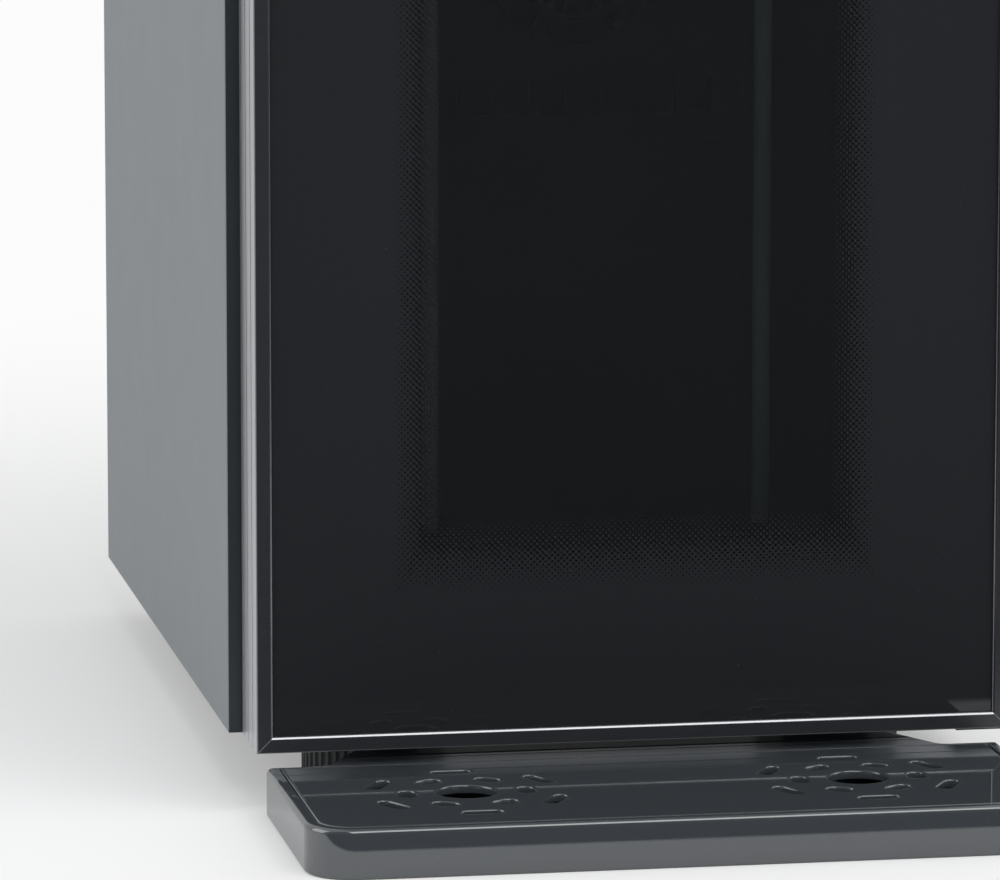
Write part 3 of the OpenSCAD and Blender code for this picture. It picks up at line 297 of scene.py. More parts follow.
def bezel_finish():
    """Black anodised bars with a bright cut bevel along the glass, a painted highlight along the
    outer edge and a hairline at each mitre."""
    f = Finish("Black anodised bezel", roughness=0.24, specular_ior_level=0.75)
    x, y, z = f.along()
    bevel_start, bevel_end, front_y, sharp = 0.0044, 0.0054, -0.1315, 0.0001
    from_side = DOOR_HALF_W * MM - x.size()
    from_ends = (z - DOOR_LOW_Z * MM).least(DOOR_HIGH_Z * MM - z)
    inward = from_side.least(from_ends)
    bevel = (inward - bevel_start).step(0.0, sharp) * (bevel_end - inward).step(0.0, sharp)
    front = (front_y - y).step(0.0, sharp)
    bright = bevel * front
    # Painted highlight: the rounded outer edge of the front is painted a lighter grey, in place of
    # the light that edge catches.
    painted_edge_highlight = (0.00045 - inward).step(0.0, 0.0003)
    mitre = (from_side - from_ends).size().step(0.00030, 0.00012)
    grain = f.noise(70.0, 4.0, 0.7, f.stretched(1.0, 20.0, 20.0))
    black = f.mix(grain, (0.020, 0.0225, 0.026), (0.029, 0.032, 0.037))
    # The lighter grey here is a painted highlight along the outer edge, and also the hairline at
    # each mitre.
    black = f.mix(painted_edge_highlight.most(mitre) * front * 0.7, black, (0.24, 0.25, 0.26))
    f.set(base_color=f.mix(bright, black, (0.27, 0.275, 0.285)), metallic=bright,
          roughness=0.20 + 0.10 * grain,
          normal=f.bump(grain, 0.000003))
    return f


def frit_mask(f):
    """1 where the door's black screen print is and 0 where its glass is clear. Between them, black
    dots on a lattice turned by 45 degrees grow until they join."""
    x, y, z = f.along()
    clear_half_w, black_half_w = 0.061, 0.0775
    clear_low_z, black_low_z = 0.094, 0.068
    clear_high_z, black_high_z = 0.352, 0.378
    side = (x.size() - clear_half_w) / (black_half_w - clear_half_w)
    foot = (clear_low_z - z) / (clear_low_z - black_low_z)
    top = (z - clear_high_z) / (black_high_z - clear_high_z)
    share = side.most(foot).most(top).most(0.0).least(1.0)
    pitch = 0.00190
    turn = 2.0 * math.pi / pitch
    screen = 0.5 + 0.25 * (((x + z) * turn).wave() + ((x - z) * turn).wave())
    past_ends, soft = 0.02, 0.05    # the share passes 0 and 1, so that both ends stay even
    return (share * (1.0 + 2.0 * past_ends) - past_ends - screen).step(-soft, soft)


def pane(f, tint, roughness):
    """Clear glass of a tint, with the shine of its face."""
    clear = f.node("BsdfTransparent", inputs={"Color": tint})
    shine = f.node("BsdfGlossy", inputs={"Color": (0.9, 0.92, 0.95), "Roughness": roughness})
    return f.shader_mix(f.node("Fresnel", inputs={"IOR": 1.5}), clear, shine)


def frit_glass():
    """Float glass with a black screen print round a window that is itself a little smoky."""
    f = Finish("Tinted door glass with halftone print", roughness=0.02, specular_ior_level=0.5)
    print_share = frit_mask(f)
    speck = f.cells(260.0).step(0.04, 0.018) * f.noise(40.0, 2.0).step(0.5, 0.6)
    smoke = f.mix(print_share, (0.046, 0.050, 0.053), (0.0185, 0.0200, 0.0225))
    f.set(base_color=f.mix(speck * 0.4, smoke, (0.28, 0.29, 0.30)),
          roughness=0.018 + 0.05 * f.noise(30.0, 5.0, 0.7).step(0.45, 0.8) + 0.4 * speck)
    window = pane(f, (0.80, 0.83, 0.83), 0.02)
    f.show(f.shader_mix(0.15 + 0.85 * print_share, window, f.surface()))
    return f


def plain_glass():
    """Inner pane: clear, a little grey, with a faint smear."""
    f = Finish("Clear inner glass", colour=(0.4, 0.42, 0.43), roughness=0.03)
    smear = f.noise(24.0, 5.0, 0.7).step(0.4, 0.9)
    f.set(roughness=0.2 + 0.1 * smear)
    f.show(f.shader_mix(smear * 0.03, pane(f, (0.90, 0.92, 0.92), 0.03), f.surface()))
    return f


def clear_plastic(name, tint, share):
    """Milky tube that shows a little of what is behind it."""
    f = Finish(name, colour=tint, roughness=0.22, specular_ior_level=0.5)
    haze = f.noise(90.0, 3.0)
    f.set(roughness=0.18 + 0.1 * haze)
    clear = f.node("BsdfTransparent", inputs={"Color": (0.92, 0.94, 0.95)})
    f.show(f.shader_mix(share + 0.1 * (haze - 0.5), clear, f.surface()))
    return f


def circuit_board():
    """Green solder mask with its tracks, which stand a little proud."""
    f = Finish("Green circuit board", roughness=0.3, specular_ior_level=0.5)
    x, y, z = f.along()
    tracks = f.cells(190.0, f.vector(x, 0.0, z), 0.6).step(0.42, 0.46)
    f.set(base_color=f.mix(tracks, (0.012, 0.12, 0.055), (0.03, 0.22, 0.10)),
          normal=f.bump(tracks, 0.00004))
    return f


def foam():
    """Rigid foam with its cells."""
    f = Finish("Rigid insulating foam", roughness=0.85)
    f.set(base_color=f.mix(f.noise(22.0, 4.0), (0.66, 0.58, 0.40), (0.78, 0.71, 0.54)),
          normal=f.bump(f.cells(520.0), 0.0004))
    return f


def heat_pump():
    """White ceramic plates, a little duller along the band between them."""
    f = Finish("Ceramic heat pump", roughness=0.42)
    x, y, z = f.along()
    band_y = 0.0245
    band = (y - band_y).size().step(0.0014, 0.0009)
    f.set(base_color=f.mix(f.noise(60.0, 3.0), (0.74, 0.74, 0.71), (0.84, 0.84, 0.81)),
          roughness=0.38 + 0.1 * band)
    return f


def knob_plastic():
    """Black knob with a white pointer line on its face."""
    f = moulded("Black fluted knob", KNOB_BLACK, 0.42)
    x, y, z = f.along()
    knob_x, line_low_z, line_high_z, face_y = 0.040, 0.4795, 0.486, 0.2228
    line = ((x - knob_x).size().step(0.0009, 0.0006)
            * (z - line_low_z).step(-0.0002, 0.0002) * (line_high_z - z).step(-0.0002, 0.0002)
            * (y - face_y).step(0.0, 0.0001))
    f.set(base_color=f.mix(line, KNOB_BLACK, (0.75, 0.75, 0.74)))
    return f


def rocker_plastic():
    """Dark red rocker with a white bar and a white ring, for on and off."""
    f = gloss("Dark red rocker", ROCKER_RED, 0.22, 0.0005)
    x, y, z = f.along()
    bar_z, circle_z, circle_r, face_y = 0.1025, 0.0955, 0.0019, 0.2065
    across = x - INLET_X
    bar = across.size().step(0.0007, 0.0005) * (z - bar_z).size().step(0.0021, 0.0019)
    from_middle = (across ** 2.0 + (z - circle_z) ** 2.0) ** 0.5
    circle = (from_middle - circle_r).size().step(0.0005, 0.0003)
    face = (y - face_y).step(0.0, 0.0004)
    f.set(base_color=f.mix(bar.most(circle) * face, ROCKER_RED, (0.85, 0.85, 0.84)))
    return f


def inlet_plastic():
    """Black socket body with three steel pins."""
    f = moulded("Black inlet moulding", INLET_BLACK, 0.48)
    x, y, z = f.along()
    pin_pitch, pin_z, pin_y = 0.007, 0.0640, 0.1915
    across = (x - INLET_X).size()
    from_pin = (across - pin_pitch).size().least(across)
    pin = (from_pin.step(0.0014, 0.0012) * (z - pin_z).size().step(0.0023, 0.0021)
           * (y - pin_y).step(0.0, 0.0004))
    f.set(base_color=f.mix(pin, INLET_BLACK, (0.62, 0.61, 0.58)),
          metallic=pin, roughness=0.48 - 0.22 * pin)
    return f


def case_sheet():
    """Zinc-coated sheet with its frosted spangle."""
    f = Finish("Zinc-coated sheet", roughness=0.36, metallic=1.0)
    spangle = f.along(f.cells(85.0, output="Color"))[0]
    f.set(base_color=f.mix(spangle, (0.45, 0.46, 0.47), (0.62, 0.63, 0.64)),
          roughness=0.28 + 0.18 * spangle, normal=f.soft_edges(0.0004))
    return f


def glowing(name, colour, strength):
    """A lit mark, with a fine grain in its glow."""
    f = Finish(name, colour=shade(colour, 0.3), roughness=0.4)
    grain = f.noise(800.0, 2.0)
    f.set(emission_color=f.mix(grain * 0.3, colour, shade(colour, 0.8)),
          emission_strength=strength)
    return f


def lamp_cover():
    """Frosted strip, paler in front of each of its lamps."""
    f = Finish("Frosted lamp cover", roughness=0.5)
    x, y, z = f.along()
    pitch = 0.015
    led = (((x / pitch) * (2.0 * math.pi)).wave() * 0.5 + 0.5) ** 3.0
    f.set(base_color=f.mix(led, (0.62, 0.64, 0.64), (0.78, 0.80, 0.80)),
          roughness=0.45 + 0.1 * f.noise(300.0, 2.0))
    return f


FINISHES = {
    "foot_rubber": rubber("Black foot rubber", (0.034, 0.036, 0.038)),
    "pan_paint": painted("Dark powder coat", (0.020, 0.021, 0.023), 0.5, 2.0),
    "side_paint": painted("Grey satin paint", (0.200, 0.216, 0.227), 0.48),
    "frame_plastic": moulded("Dark grey frame", (0.029, 0.036, 0.040), 0.36),
    "rear_paint": painted("Dull grey coat", (0.075, 0.080, 0.083), 0.5, 1.5),
    "deck_sheet": case_sheet(),
    "liner_plastic": moulded("Dark vacuum-formed liner", (0.032, 0.035, 0.037), 0.42,
                             500.0, 0.00006),
    "foam": foam(),
    "coaster_rubber": rubber("Black coaster rubber", (0.009, 0.009, 0.010)),
    "lamp_diffuser": lamp_cover(),
    "sink_aluminium": brushed("Natural extruded fins", (0.68, 0.69, 0.70), 0.38,
                              (1.0, 30.0, 1.0)),
    "cover_plastic": moulded("Dark fan cover", (0.020, 0.0215, 0.023), 0.42),
    "fan_plastic": moulded("Black fan moulding", (0.010, 0.0105, 0.0115), 0.38),
    "ceramic": heat_pump(),
    "supply_case": case_sheet(),
    "circuit_board": circuit_board(),
    "regulator_brass": brushed("Machined brass", (0.62, 0.44, 0.17), 0.26, (1.0, 40.0, 1.0)),
    "knob_plastic": knob_plastic(),
    "manifold_plastic": moulded("Grey manifold moulding", (0.055, 0.06, 0.064), 0.42),
    "hose_tube": clear_plastic("Milky flexible tube", (0.62, 0.66, 0.68), 0.75),
    "dock_plastic": gloss("White dock moulding", (0.62, 0.63, 0.64), 0.22),
    "plunger_plastic": gloss("Black plunger moulding", (0.010, 0.0105, 0.0115), 0.25),
    "stopper_rubber": rubber("Dark food-grade rubber", (0.026, 0.028, 0.030), 0.5),
    "dip_tube": clear_plastic("Clear stiff tube", (0.72, 0.77, 0.80), 0.45),
    "valve_steel": brushed("Turned stainless steel", (0.60, 0.60, 0.61), 0.24,
                           (1.0, 1.0, 30.0)),
    "spring_steel": brushed("Spring wire", (0.42, 0.43, 0.44), 0.3),
    "spout_chrome": brushed("Polished stainless steel", (0.74, 0.75, 0.77), 0.09,
                            (1.0, 1.0, 30.0), 0.05),
    "lever_plastic": gloss("Gloss black lever", (0.008, 0.0085, 0.0095), 0.10),
    "head_gloss": gloss("Gloss black head", (0.0085, 0.0092, 0.0105), 0.10, 0.0012),
    "panel_glass": gloss("Black panel glass", (0.004, 0.0044, 0.0052), 0.04, 0.0004),
    "button_metal": brushed("Spun steel button", (0.60, 0.61, 0.63), 0.28, (60.0, 1.0, 60.0)),
    "door_glass": frit_glass(),
    "inner_glass": plain_glass(),
    "spacer_metal": brushed("Dark spacer bar", (0.05, 0.053, 0.056), 0.45, (1.0, 20.0, 1.0)),
    "bezel_black": bezel_finish(),
    "edge_aluminium": door_edge(),
    "key_plastic": moulded("Black corner key", (0.014, 0.0145, 0.0155), 0.45),
    "gasket_rubber": rubber("Black door gasket", (0.012, 0.012, 0.013)),
    "bracket_steel": painted("Dark coated steel", (0.022, 0.024, 0.026), 0.42),
    "tray_gloss": gloss("Gloss dark tray", (0.046, 0.053, 0.060), 0.03, 0.0004, 1.0, 1.6),
    "inlet_plastic": inlet_plastic(),
    "rocker_plastic": rocker_plastic(),
    "screw_steel": brushed("Zinc-plated screw", (0.60, 0.61, 0.63), 0.3),
}
# Finishes of marks, which differ from the slot that the marks belong to.
LIT_DIGITS = glowing("Pale blue digits", (0.55, 0.80, 1.0), 1.6)
GREY_PRINT = moulded("Grey printed ring", (0.35, 0.36, 0.37), 0.4)
DARK_FILLING = moulded("Black filled engraving", (0.02, 0.02, 0.021), 0.4)

slot_of = {row["node"]: row["material_slot"] for row in frame["record"]["subparts"]}
body_of = {node: body for body, members in frame["record"]["behaviour"]["bodies"].items()
           for node in members}
for name, part in frame["nodes"].items():
    for place in part.material_slots:
        place.material = FINISHES[slot_of[name]].material


# ---------- Meshes ----------


def crosses(point, first, second):
    """Whether an edge lies across the line that runs from a point along +X."""
    if (first.y > point.y) == (second.y > point.y):
        return False
    return point.x < first.x + (second.x - first.x) * (point.y - first.y) / (second.y - first.y)


class Shape:
    """A mesh, drawn in millimetres."""

    def __init__(self):
        self.mesh = bmesh.new()

    def ring(self, points):
        """A closed ring of corners at 3-D points."""
        return [self.mesh.verts.new(Vector(p)) for p in points]

    def level(self, outline, z):
        """A closed ring of corners at one height."""
        return self.ring([(x, y, z) for x, y in outline])

    def skirt(self, first, second):
        """A band of faces between two rings of as many corners."""
        count = len(first)
        for k in range(count):
            j = (k + 1) % count
            self.mesh.faces.new((first[k], first[j], second[j], second[k]))

    def skirts(self, rings):
        """Bands of faces from each ring to the next."""
        for first, second in zip(rings, rings[1:]):
            self.skirt(first, second)

    def cap(self, ring):
        """One face that fills a ring."""
        self.mesh.faces.new(ring)

    def sheet(self, *rings):
        """A flat sheet inside the first ring, with the other rings as its holes."""
        corners, edges = [], []
        for ring in rings:
            start = len(corners)
            corners += ring
            edges += [(start + k, start + (k + 1) % len(ring)) for k in range(len(ring))]
        flat = [Vector((c.co.x, c.co.y)) for c in corners]
        triangles = delaunay_2d_cdt(flat, edges, [], 0, 1e-6)[2]
        for triangle in triangles:
            middle = sum((flat[k] for k in triangle), Vector((0.0, 0.0))) / 3
            crossed = [e for e in edges if crosses(middle, flat[e[0]], flat[e[1]])]
            if len(crossed) % 2:
                self.mesh.faces.new([corners[k] for k in triangle])

    def made(self, name, finish, smooth=None, move=None):
        """The object, in metres. Its edges stay sharp above the smooth angle, or everywhere."""
        data = bpy.data.meshes.new(name)
        self.mesh.to_mesh(data)
        self.mesh.free()
        data.transform((move or Matrix()) @ Matrix.Scale(MM, 4))
        if smooth:
            data.shade_smooth()
            data.set_sharp_from_angle(angle=math.radians(smooth))
        data.materials.append(finish.material)
        thing = bpy.data.objects.new(name, data)
        bpy.context.scene.collection.objects.link(thing)
        return thing

    def piece(self, name, slot, body, stands_for=(), smooth=35.0, move=None, finish=None):
        """A piece of the product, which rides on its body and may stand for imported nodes."""
        bmesh.ops.recalc_face_normals(self.mesh, faces=self.mesh.faces)
        piece = self.made(name, finish or FINISHES[slot], smooth, move)
        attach(piece, body)
        if stands_for:
            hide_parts(*stands_for)
        return piece


def arc(centre, radius, start, end, steps):
    """Points of an arc between two angles in degrees."""
    angles = [math.radians(start + (end - start) * k / steps) for k in range(steps + 1)]
    return [(centre[0] + radius * math.cos(a), centre[1] + radius * math.sin(a)) for a in angles]


# ---------- Drip tray ----------

TRAY_HALF_W, TRAY_FRONT_Y, TRAY_H = 117.0, -225.0, 15.5
RIM_W, COVER_T, FLOOR_T, LEDGE_W, COVER_GAP, COVER_CLEARANCE = 3.8, 2.5, 2.5, 2.0, 1.2, 0.4
TAP_X, TAP_Y = 61.5, -177.0
CORNER_R, TONGUE_HALF_W, TONGUE_DEPTH, TONGUE_ANGLE, TONGUE_FILLET = 15.0, 98.0, 22.0, 61.0, 5.0
DRAIN_R = 9.5
SLOT_RINGS = ((18.5, 9.5, 6.0, 0), (29.0, 13.5, 5.0, 30))   # radius, length, width, first angle


def tray_outline(inset, rear=None):
    """The tray's plan, shrunk by an inset: with its tongue, whose edges are less rounded than the
    others, or cut straight at a rear line."""
    half, front, corner = TRAY_HALF_W - inset, TRAY_FRONT_Y + inset, CORNER_R - inset
    right = arc((half - corner, front + corner), corner, -90, 0, 12)
    if rear is None:
        shrink = min(inset, 0.2)
        back = DOOR_Y - shrink
        lean = math.radians(TONGUE_ANGLE)
        root = TONGUE_HALF_W - shrink / math.sin(lean) + shrink / math.tan(lean)
        turn = 180.0 - TONGUE_ANGLE
        fillet = TONGUE_FILLET + shrink
        reach = fillet / math.sin(math.radians(turn / 2))
        centre = (root + reach * math.cos(math.radians(turn / 2)),
                  back + reach * math.sin(math.radians(turn / 2)))
        right += [(half, back)] + arc(centre, fillet, 270, turn + 90, 6)
        right += [(root - TONGUE_DEPTH / math.tan(lean), back + TONGUE_DEPTH)]
    else:
        right += [(half, rear)]
    return right + [(-x, y) for x, y in reversed(right)]


def make_tray_basin():
    """The tray's body: a rounded rim, a ledge for the cover and a well. A ring close to each
    rounded edge keeps the shading of the flat top even."""
    s = Shape()
    edge_r, lip_r, close = 1.8, 0.35, 0.1
    outer = [s.level(tray_outline(0.7), 0.0), s.level(tray_outline(0.15), 0.5),
             s.level(tray_outline(0.0), 1.2), s.level(tray_outline(0.0), TRAY_H - edge_r)]
    outer += [s.level(tray_outline(edge_r * (1 - math.cos(a))), TRAY_H - edge_r * (1 - math.sin(a)))
              for a in (math.radians(18 * k) for k in range(1, 6))]
    outer.append(s.level(tray_outline(edge_r + close), TRAY_H))
    s.skirts(outer)
    recess_rear = DOOR_Y - COVER_GAP + COVER_CLEARANCE
    lip = [s.level(tray_outline(RIM_W - back, recess_rear + back), TRAY_H - down)
           for back, down in ((lip_r + close, 0.0), (lip_r, 0.0), (0.1, 0.1), (0.0, lip_r),
                              (0.0, COVER_T))]
    s.skirts(lip)
    s.sheet(outer[-1], lip[0])
    well_rear = DOOR_Y - COVER_GAP - LEDGE_W
    well = [s.level(tray_outline(RIM_W + LEDGE_W + inset, well_rear - inset), z)
            for inset, z in ((0.0, TRAY_H - COVER_T), (0.0, FLOOR_T + 1.5), (0.5, FLOOR_T + 0.4),
                             (1.6, FLOOR_T))]
    s.skirts(well)
    s.sheet(lip[-1], well[0])
    s.sheet(well[-1])
    s.sheet(outer[0])
    s.piece("tray_basin_moulding", "tray_gloss", "tray", ["tray_basin"])


def stadium(radius, length, width, angle, grow):
    """Outline of one drain slot, on a circle round the middle of a rosette."""
    half = (length - width) / 2
    outline = (arc((0.0, half), width / 2 + grow, 0, 180, 8)
               + arc((0.0, -half), width / 2 + grow, 180, 360, 8))
    turn = math.radians(angle)
    return [((radius + x) * math.cos(turn) - y * math.sin(turn),
             (radius + x) * math.sin(turn) + y * math.cos(turn)) for x, y in outline]


def rosette(grow):
    """Outlines of a big drain hole and its two rings of slots."""
    holes = [arc((0.0, 0.0), DRAIN_R + grow, 0, 345, 23)]
    for k in range(6):
        holes += [stadium(radius, length, width, k * 60 + first, grow)
                  for radius, length, width, first in SLOT_RINGS]
    return holes


def make_tray_cover():
    """The loose cover, with rounded edges and a rosette of drain holes under each tap."""
    s = Shape()
    edge_r, hole_r, close = 0.9, 0.55, 0.12
    inset, rear = RIM_W + COVER_CLEARANCE, DOOR_Y - COVER_GAP
    low = TRAY_H - COVER_T
    sides = [s.level(tray_outline(inset, rear), z) for z in (low, TRAY_H - edge_r)]
    for a in (22.5, 45, 67.5, 90):
        back = edge_r * (1 - math.cos(math.radians(a)))
        up = TRAY_H - edge_r * (1 - math.sin(math.radians(a)))
        sides.append(s.level(tray_outline(inset + back, rear - back), up))
    sides.append(s.level(tray_outline(inset + edge_r + close, rear - edge_r - close), TRAY_H))
    s.skirts(sides)
    tops, bottoms = [], []
    for x in (-TAP_X, TAP_X):
        rings = []
        for grow, z in ((0.0, low), (0.0, TRAY_H - hole_r), (0.08, TRAY_H - 0.28),
                        (0.27, TRAY_H - 0.08), (hole_r, TRAY_H), (hole_r + close, TRAY_H)):
            rings.append([s.level([(x + u, TAP_Y + v) for u, v in hole], z)
                          for hole in rosette(grow)])
        for hole in zip(*rings):
            s.skirts(hole)
            bottoms.append(hole[0])
            tops.append(hole[-1])
    s.sheet(sides[-1], *tops)
    s.sheet(sides[0], *bottoms)
    s.piece("tray_cover_plate", "tray_gloss", "tray_cover", ["tray_cover"])


# ---------- Door ----------


def frame_corners(inward, back):
    """The four corners of a rectangle, a way inwards from the door's edge."""
    w = DOOR_HALF_W - inward
    return [(-w, DOOR_Y + back, DOOR_LOW_Z + inward), (w, DOOR_Y + back, DOOR_LOW_Z + inward),
            (w, DOOR_Y + back, DOOR_HIGH_Z - inward), (-w, DOOR_Y + back, DOOR_HIGH_Z - inward)]


def make_bezel():
    """Four mitred bars: a flat face with a softened outer edge and a bevel down to the glass."""
    width, lip_t, glazing_edge, glazing_back, profile_t = 5.2, 1.5, 4.3, 15.3, 1.6
    clearance, mitre = 0.1, 0.04
    section = [(0.0, 0.5), (0.06, 0.28), (0.22, 0.1), (0.45, 0.0), (width - 0.78, 0.0),
               (width - 0.56, 0.13), (width - 0.32, 0.31), (width - 0.12, 0.52), (width, 0.74),
               (width, lip_t),
               (glazing_edge - clearance, lip_t), (glazing_edge - clearance, glazing_back),
               (profile_t + clearance, glazing_back), (profile_t + clearance, 0.5)]
    s = Shape()
    for k in range(4):
        ends = [s.ring([frame_corners(*p)[j] for p in section]) for j in (k, (k + 1) % 4)]
        along = (ends[1][0].co - ends[0][0].co).normalized() * mitre
        for ring, way in zip(ends, (1, -1)):
            for corner in ring:
                corner.co += along * way
        s.skirt(*ends)
        s.cap(ends[0])
        s.cap(ends[1])
    s.piece("door_bezel_bars", "bezel_black", "door", ["door_bezel"], 20.0)


def make_gasket():
    """Magnetic gasket: a soft bulb between two lips, in one piece round the door."""
    section = [(8.0, 32.02), (8.0, 32.5), (8.5, 33.1), (9.3, 33.3), (9.9, 33.0), (10.3, 32.9),
               (10.8, 33.5), (11.6, 33.78), (12.6, 33.78), (13.4, 33.5), (13.8, 32.9),
               (14.2, 33.0), (14.7, 32.7), (15.0, 32.02)]
    s = Shape()
    rings = [s.ring([frame_corners(*p)[k] for p in section]) for k in range(4)]
    s.skirts([*rings, rings[0]])
    s.piece("door_gasket_bulb", "gasket_rubber", "door", ["door_gasket"], 50.0)


# ---------- Valves ----------


def make_spring(name, side):
    """Coil spring round a valve's stem. It keeps the length it is drawn at, and is not squashed when
    the collar pushes its foot up towards the valve's cap.
    """
    low, high = (corner[2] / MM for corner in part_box(name))
    turns, steps, wire_r, coil_r, travel = 5, 20, 0.75, 4.75, 6.91
    s = Shape()
    rings = []
    for k in range(turns * steps + 1):
        turn = 2.0 * math.pi * k / steps
        z = low + wire_r + (high - low - 2 * wire_r) * k / (turns * steps)
        rings.append(s.ring([(side * TAP_X + (coil_r + wire_r * math.cos(a)) * math.cos(turn),
                              TAP_Y + (coil_r + wire_r * math.cos(a)) * math.sin(turn),
                              z + wire_r * math.sin(a))
                             for a in (math.pi * j / 4 for j in range(8))]))
    s.skirts(rings)
    s.cap(rings[0])
    s.cap(rings[-1])
    coil = s.piece(name + "_coil", "spring_steel", body_of[name], [name], 60.0)
    moving_end = body_of[name] != "cabinet"
    anchor = (side * TAP_X * MM, TAP_Y * MM, (low if moving_end else high) * MM)
    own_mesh(coil)


# ---------- Head ----------

HEAD_FRONT_Y, HEAD_Z, HEAD_H, HEAD_SLOPE = -205.0, 430.0, 130.0, 18.0
LEAN = math.atan(HEAD_SLOPE / HEAD_H)
ON_FACE = (Matrix.Translation(Vector((0, HEAD_FRONT_Y, HEAD_Z)) * MM)
           @ Matrix.Rotation(math.pi / 2 - LEAN, 4, "X"))
PANEL_FACE, BUTTON_FACE, BUTTON_ROW_H, DISPLAY_H = 0.6, 2.0, 69.0, 93.0
SUNK, PROUD = 0.02, 0.04        # how far a mark reaches into its face and out of it
BUTTON_XS = {"power": -33.0, "light": -11.0, "colder": 11.0, "warmer": 33.0}
SEGMENTS = {"1": "bc", "2": "abged"}


def plate(s, outline, low, high):
    """A flat plate with straight edges."""
    rings = [s.level(outline, low), s.level(outline, high)]
    s.skirt(*rings)
    s.cap(rings[0])
    s.cap(rings[1])


def ribbon(s, points, width, low, high, closed=False):
    """A flat stroke of even width through points of the face."""
    count = len(points)
    sides = ([], [])
    for k, (x, y) in enumerate(points):
        before = points[k - 1] if k or closed else points[k]
        after = points[(k + 1) % count] if k + 1 < count or closed else points[k]
        dx, dy = after[0] - before[0], after[1] - before[1]
        length = math.hypot(dx, dy)
        for side, sign in zip(sides, (1, -1)):
            side.append((x - sign * dy / length * width / 2, y + sign * dx / length * width / 2))
    if closed:
        inner, outer = [[s.level(side, z) for z in (low, high)] for side in sides]
        s.skirts([*inner, *reversed(outer), inner[0]])
    else:
        outline = sides[0] + sides[1][::-1]
        rings = [s.level(outline, low), s.level(outline, high)]
        s.skirt(*rings)
        s.sheet(rings[0])
        s.sheet(rings[1])


def make_display():
    """Two slanted seven-segment digits and a degree ring, lit behind the panel's glass."""
    s = Shape()
    wide, high, bar, gap, slant = 5.6, 10.0, 1.15, 0.35, 0.12
    low, top = PANEL_FACE - SUNK, PANEL_FACE + PROUD
    places = {"a": (0, high / 2, 0), "g": (0, 0, 0), "d": (0, -high / 2, 0),
              "b": (wide / 2, high / 4, 1), "c": (wide / 2, -high / 4, 1),
              "e": (-wide / 2, -high / 4, 1)}
    for digit, middle in (("1", -8.0), ("2", 1.0)):
        for name in SEGMENTS[digit]:
            x, y, standing = places[name]
            tip, half = bar / 2, ((high / 2 if standing else wide) - gap) / 2
            outline = [(-half, 0), (-half + tip, -tip), (half - tip, -tip), (half, 0),
                       (half - tip, tip), (-half + tip, tip)]
            if standing:
                outline = [(-v, u) for u, v in outline]
            plate(s, [(middle + x + u + slant * (y + v), DISPLAY_H + y + v) for u, v in outline],
                  low, top)
    ribbon(s, arc((8.6, DISPLAY_H + 4.2), 1.1, 0, 330, 11), 0.5, low, top, True)
    s.piece("panel_digits", "panel_glass", "cabinet", move=ON_FACE, finish=LIT_DIGITS)


def make_panel_rings():
    """Fine printed ring round each button."""
    s = Shape()
    for x in BUTTON_XS.values():
        ribbon(s, arc((x, BUTTON_ROW_H), 7.6, 0, 352.5, 47), 0.22,
               PANEL_FACE - SUNK, PANEL_FACE + 0.03, True)
    s.piece("panel_rings", "panel_glass", "cabinet", move=ON_FACE, finish=GREY_PRINT)


def make_button_mark(name):
    """The sign on a button: power, a lamp, minus or plus."""
    s = Shape()
    x, y, low, top = BUTTON_XS[name], BUTTON_ROW_H, BUTTON_FACE - SUNK, BUTTON_FACE + PROUD
    if name == "power":
        ribbon(s, arc((x, y), 2.5, 125, 415, 20), 0.55, low, top)
        ribbon(s, [(x, y + 0.8), (x, y + 3.1)], 0.55, low, top)
    elif name == "light":
        ribbon(s, arc((x, y), 1.35, 0, 337.5, 15), 0.5, low, top, True)
        for turn in (math.radians(45 * k) for k in range(8)):
            beam = [(x + r * math.cos(turn), y + r * math.sin(turn)) for r in (2.2, 3.2)]
            ribbon(s, beam, 0.45, low, top)
    else:
        ribbon(s, [(x - 2.3, y), (x + 2.3, y)], 0.6, low, top)
        if name == "warmer":
            for sign in (-1, 1):
                ribbon(s, [(x, y + sign * 0.35), (x, y + sign * 2.3)], 0.6, low, top)
    s.piece("button_%s_mark" % name, "button_metal", "button_" + name, move=ON_FACE,
            finish=DARK_FILLING)


make_tray_basin()
make_tray_cover()
make_bezel()
make_gasket()
make_spring("valve_spring_left", -1)
make_spring("valve_spring_right", 1)
make_display()
make_panel_rings()
for name in BUTTON_XS:
    make_button_mark(name)


# ---------- Stage, light and camera ----------

BACKGROUND = 0.97               # brightness of the background, where 1 is white
WHITE, DARK = (1.0, 1.0, 1.0), (0.02, 0.021, 0.023)


def floor_finish():
    """Pale tabletop: it keeps the shadow near the object, and fades to the background further off.
    Shiny surfaces see it pale close by and dark well in front of the object."""
    f = Finish("Pale tabletop", roughness=0.55, specular_ior_level=0.2)
    x, y, z = f.along()
    f.set(base_color=f.mix(f.noise(3.0, 3.0), (0.90, 0.905, 0.91), (0.92, 0.925, 0.93)))
    camera, glossy, through = f.rays()
    middle_y, shadow_r, clean_r, dark_from_y = 0.05, 0.2, 0.9, -0.262
    away = 0.3 + 0.7 * ((x ** 2.0 + (y - middle_y) ** 2.0) ** 0.5).step(shadow_r, clean_r)
    pale = f.node("Emission", inputs={"Color": WHITE, "Strength": BACKGROUND - 0.27 * glossy})
    dark = f.node("Emission", inputs={"Color": DARK, "Strength": 1.0})
    front = (dark_from_y - y).step(0.0, 0.012)
    near = f.shader_mix(away * camera.most(through).most(glossy), f.surface(), pale)
    f.show(f.shader_mix(front * glossy, near, dark))
    return f


def make_stage():
    """The tabletop: a round sheet just under the feet, in rings that widen outwards."""
    s = Shape()
    steps, under = 64, -0.02
    rings = [s.level(arc((0.0, 0.0), r, 0, 360 - 360 / steps, steps - 1), under)
             for r in (300.0, 900.0, 2500.0, 9000.0)]
    s.sheet(rings[0])
    s.skirts(rings)
    s.made("tabletop", floor_finish())


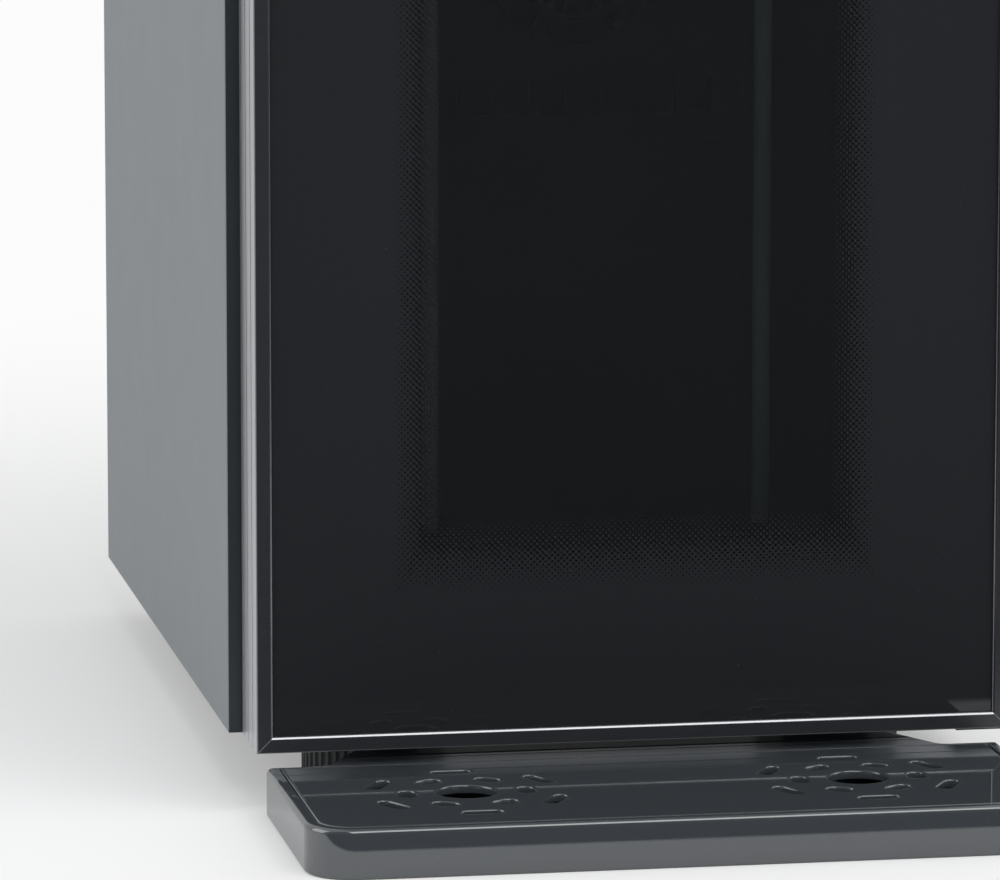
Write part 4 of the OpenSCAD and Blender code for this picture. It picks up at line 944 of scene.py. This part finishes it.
def make_world():
    """Even pale surroundings, with a dim room in front of the object for shiny surfaces."""
    world = bpy.data.worlds.new("Studio")
    bpy.context.scene.world = world
    world.use_nodes = True
    m = Maker(world.node_tree)
    camera, glossy, through = m.rays()
    x, y, z = m.along(m.node("TexCoord", output="Generated"))
    lighting, reflected, dimming = 0.62, 0.70, 0.66
    room = (-1.0 * y).step(0.05, 0.45)
    shown = camera.most(through)
    level = lighting * (1.0 - shown) + BACKGROUND * shown
    seen = level * (1.0 - glossy) + glossy * (reflected - dimming * room)
    back = world.node_tree.nodes["Background"]
    m.join(WHITE, back.inputs["Color"])
    m.join(seen, back.inputs["Strength"])


def softbox(name, place, target, width, height, power):
    """A white panel lamp that faces a target."""
    lamp = bpy.data.lights.new(name, "AREA")
    lamp.shape, lamp.size, lamp.size_y, lamp.energy = "RECTANGLE", width, height, power
    holder = bpy.data.objects.new(name, lamp)
    holder.location = place
    holder.rotation_euler = (Vector(target) - Vector(place)).to_track_quat("-Z", "Y").to_euler()
    bpy.context.scene.collection.objects.link(holder)


def make_camera():
    """The photograph's viewpoint: a long lens, a little from the left and from above."""
    data = bpy.data.cameras.new("camera")
    data.sensor_fit, data.sensor_width, data.lens = "HORIZONTAL", 36.0, 267.43
    data.clip_start, data.clip_end = 0.1, 50.0
    camera = bpy.data.objects.new("camera", data)
    yaw, pitch, roll = (math.radians(a) for a in (10.039, 9.598, 0.041))
    ahead = Vector((math.sin(yaw) * math.cos(pitch), math.cos(yaw) * math.cos(pitch),
                    -math.sin(pitch)))
    camera.rotation_mode = "QUATERNION"
    camera.rotation_quaternion = (ahead.to_track_quat("-Z", "Y")
                                  @ Matrix.Rotation(roll, 3, "Z").to_quaternion())
    camera.location = (-0.4397, -2.3718, 0.5014)
    bpy.context.scene.collection.objects.link(camera)
    bpy.context.scene.camera = camera


make_stage()
make_world()
softbox("key", (0.42, -1.25, 1.95), (0.0, -0.1, 0.15), 2.0, 1.0, 24.0)
softbox("left", (-2.1, 0.2, 1.1), (0.0, 0.05, 0.25), 1.6, 1.6, 14.0)
softbox("right", (2.2, -0.4, 1.2), (0.0, 0.05, 0.3), 1.2, 1.6, 9.0)
make_camera()
bpy.context.scene.view_settings.view_transform = "Standard"
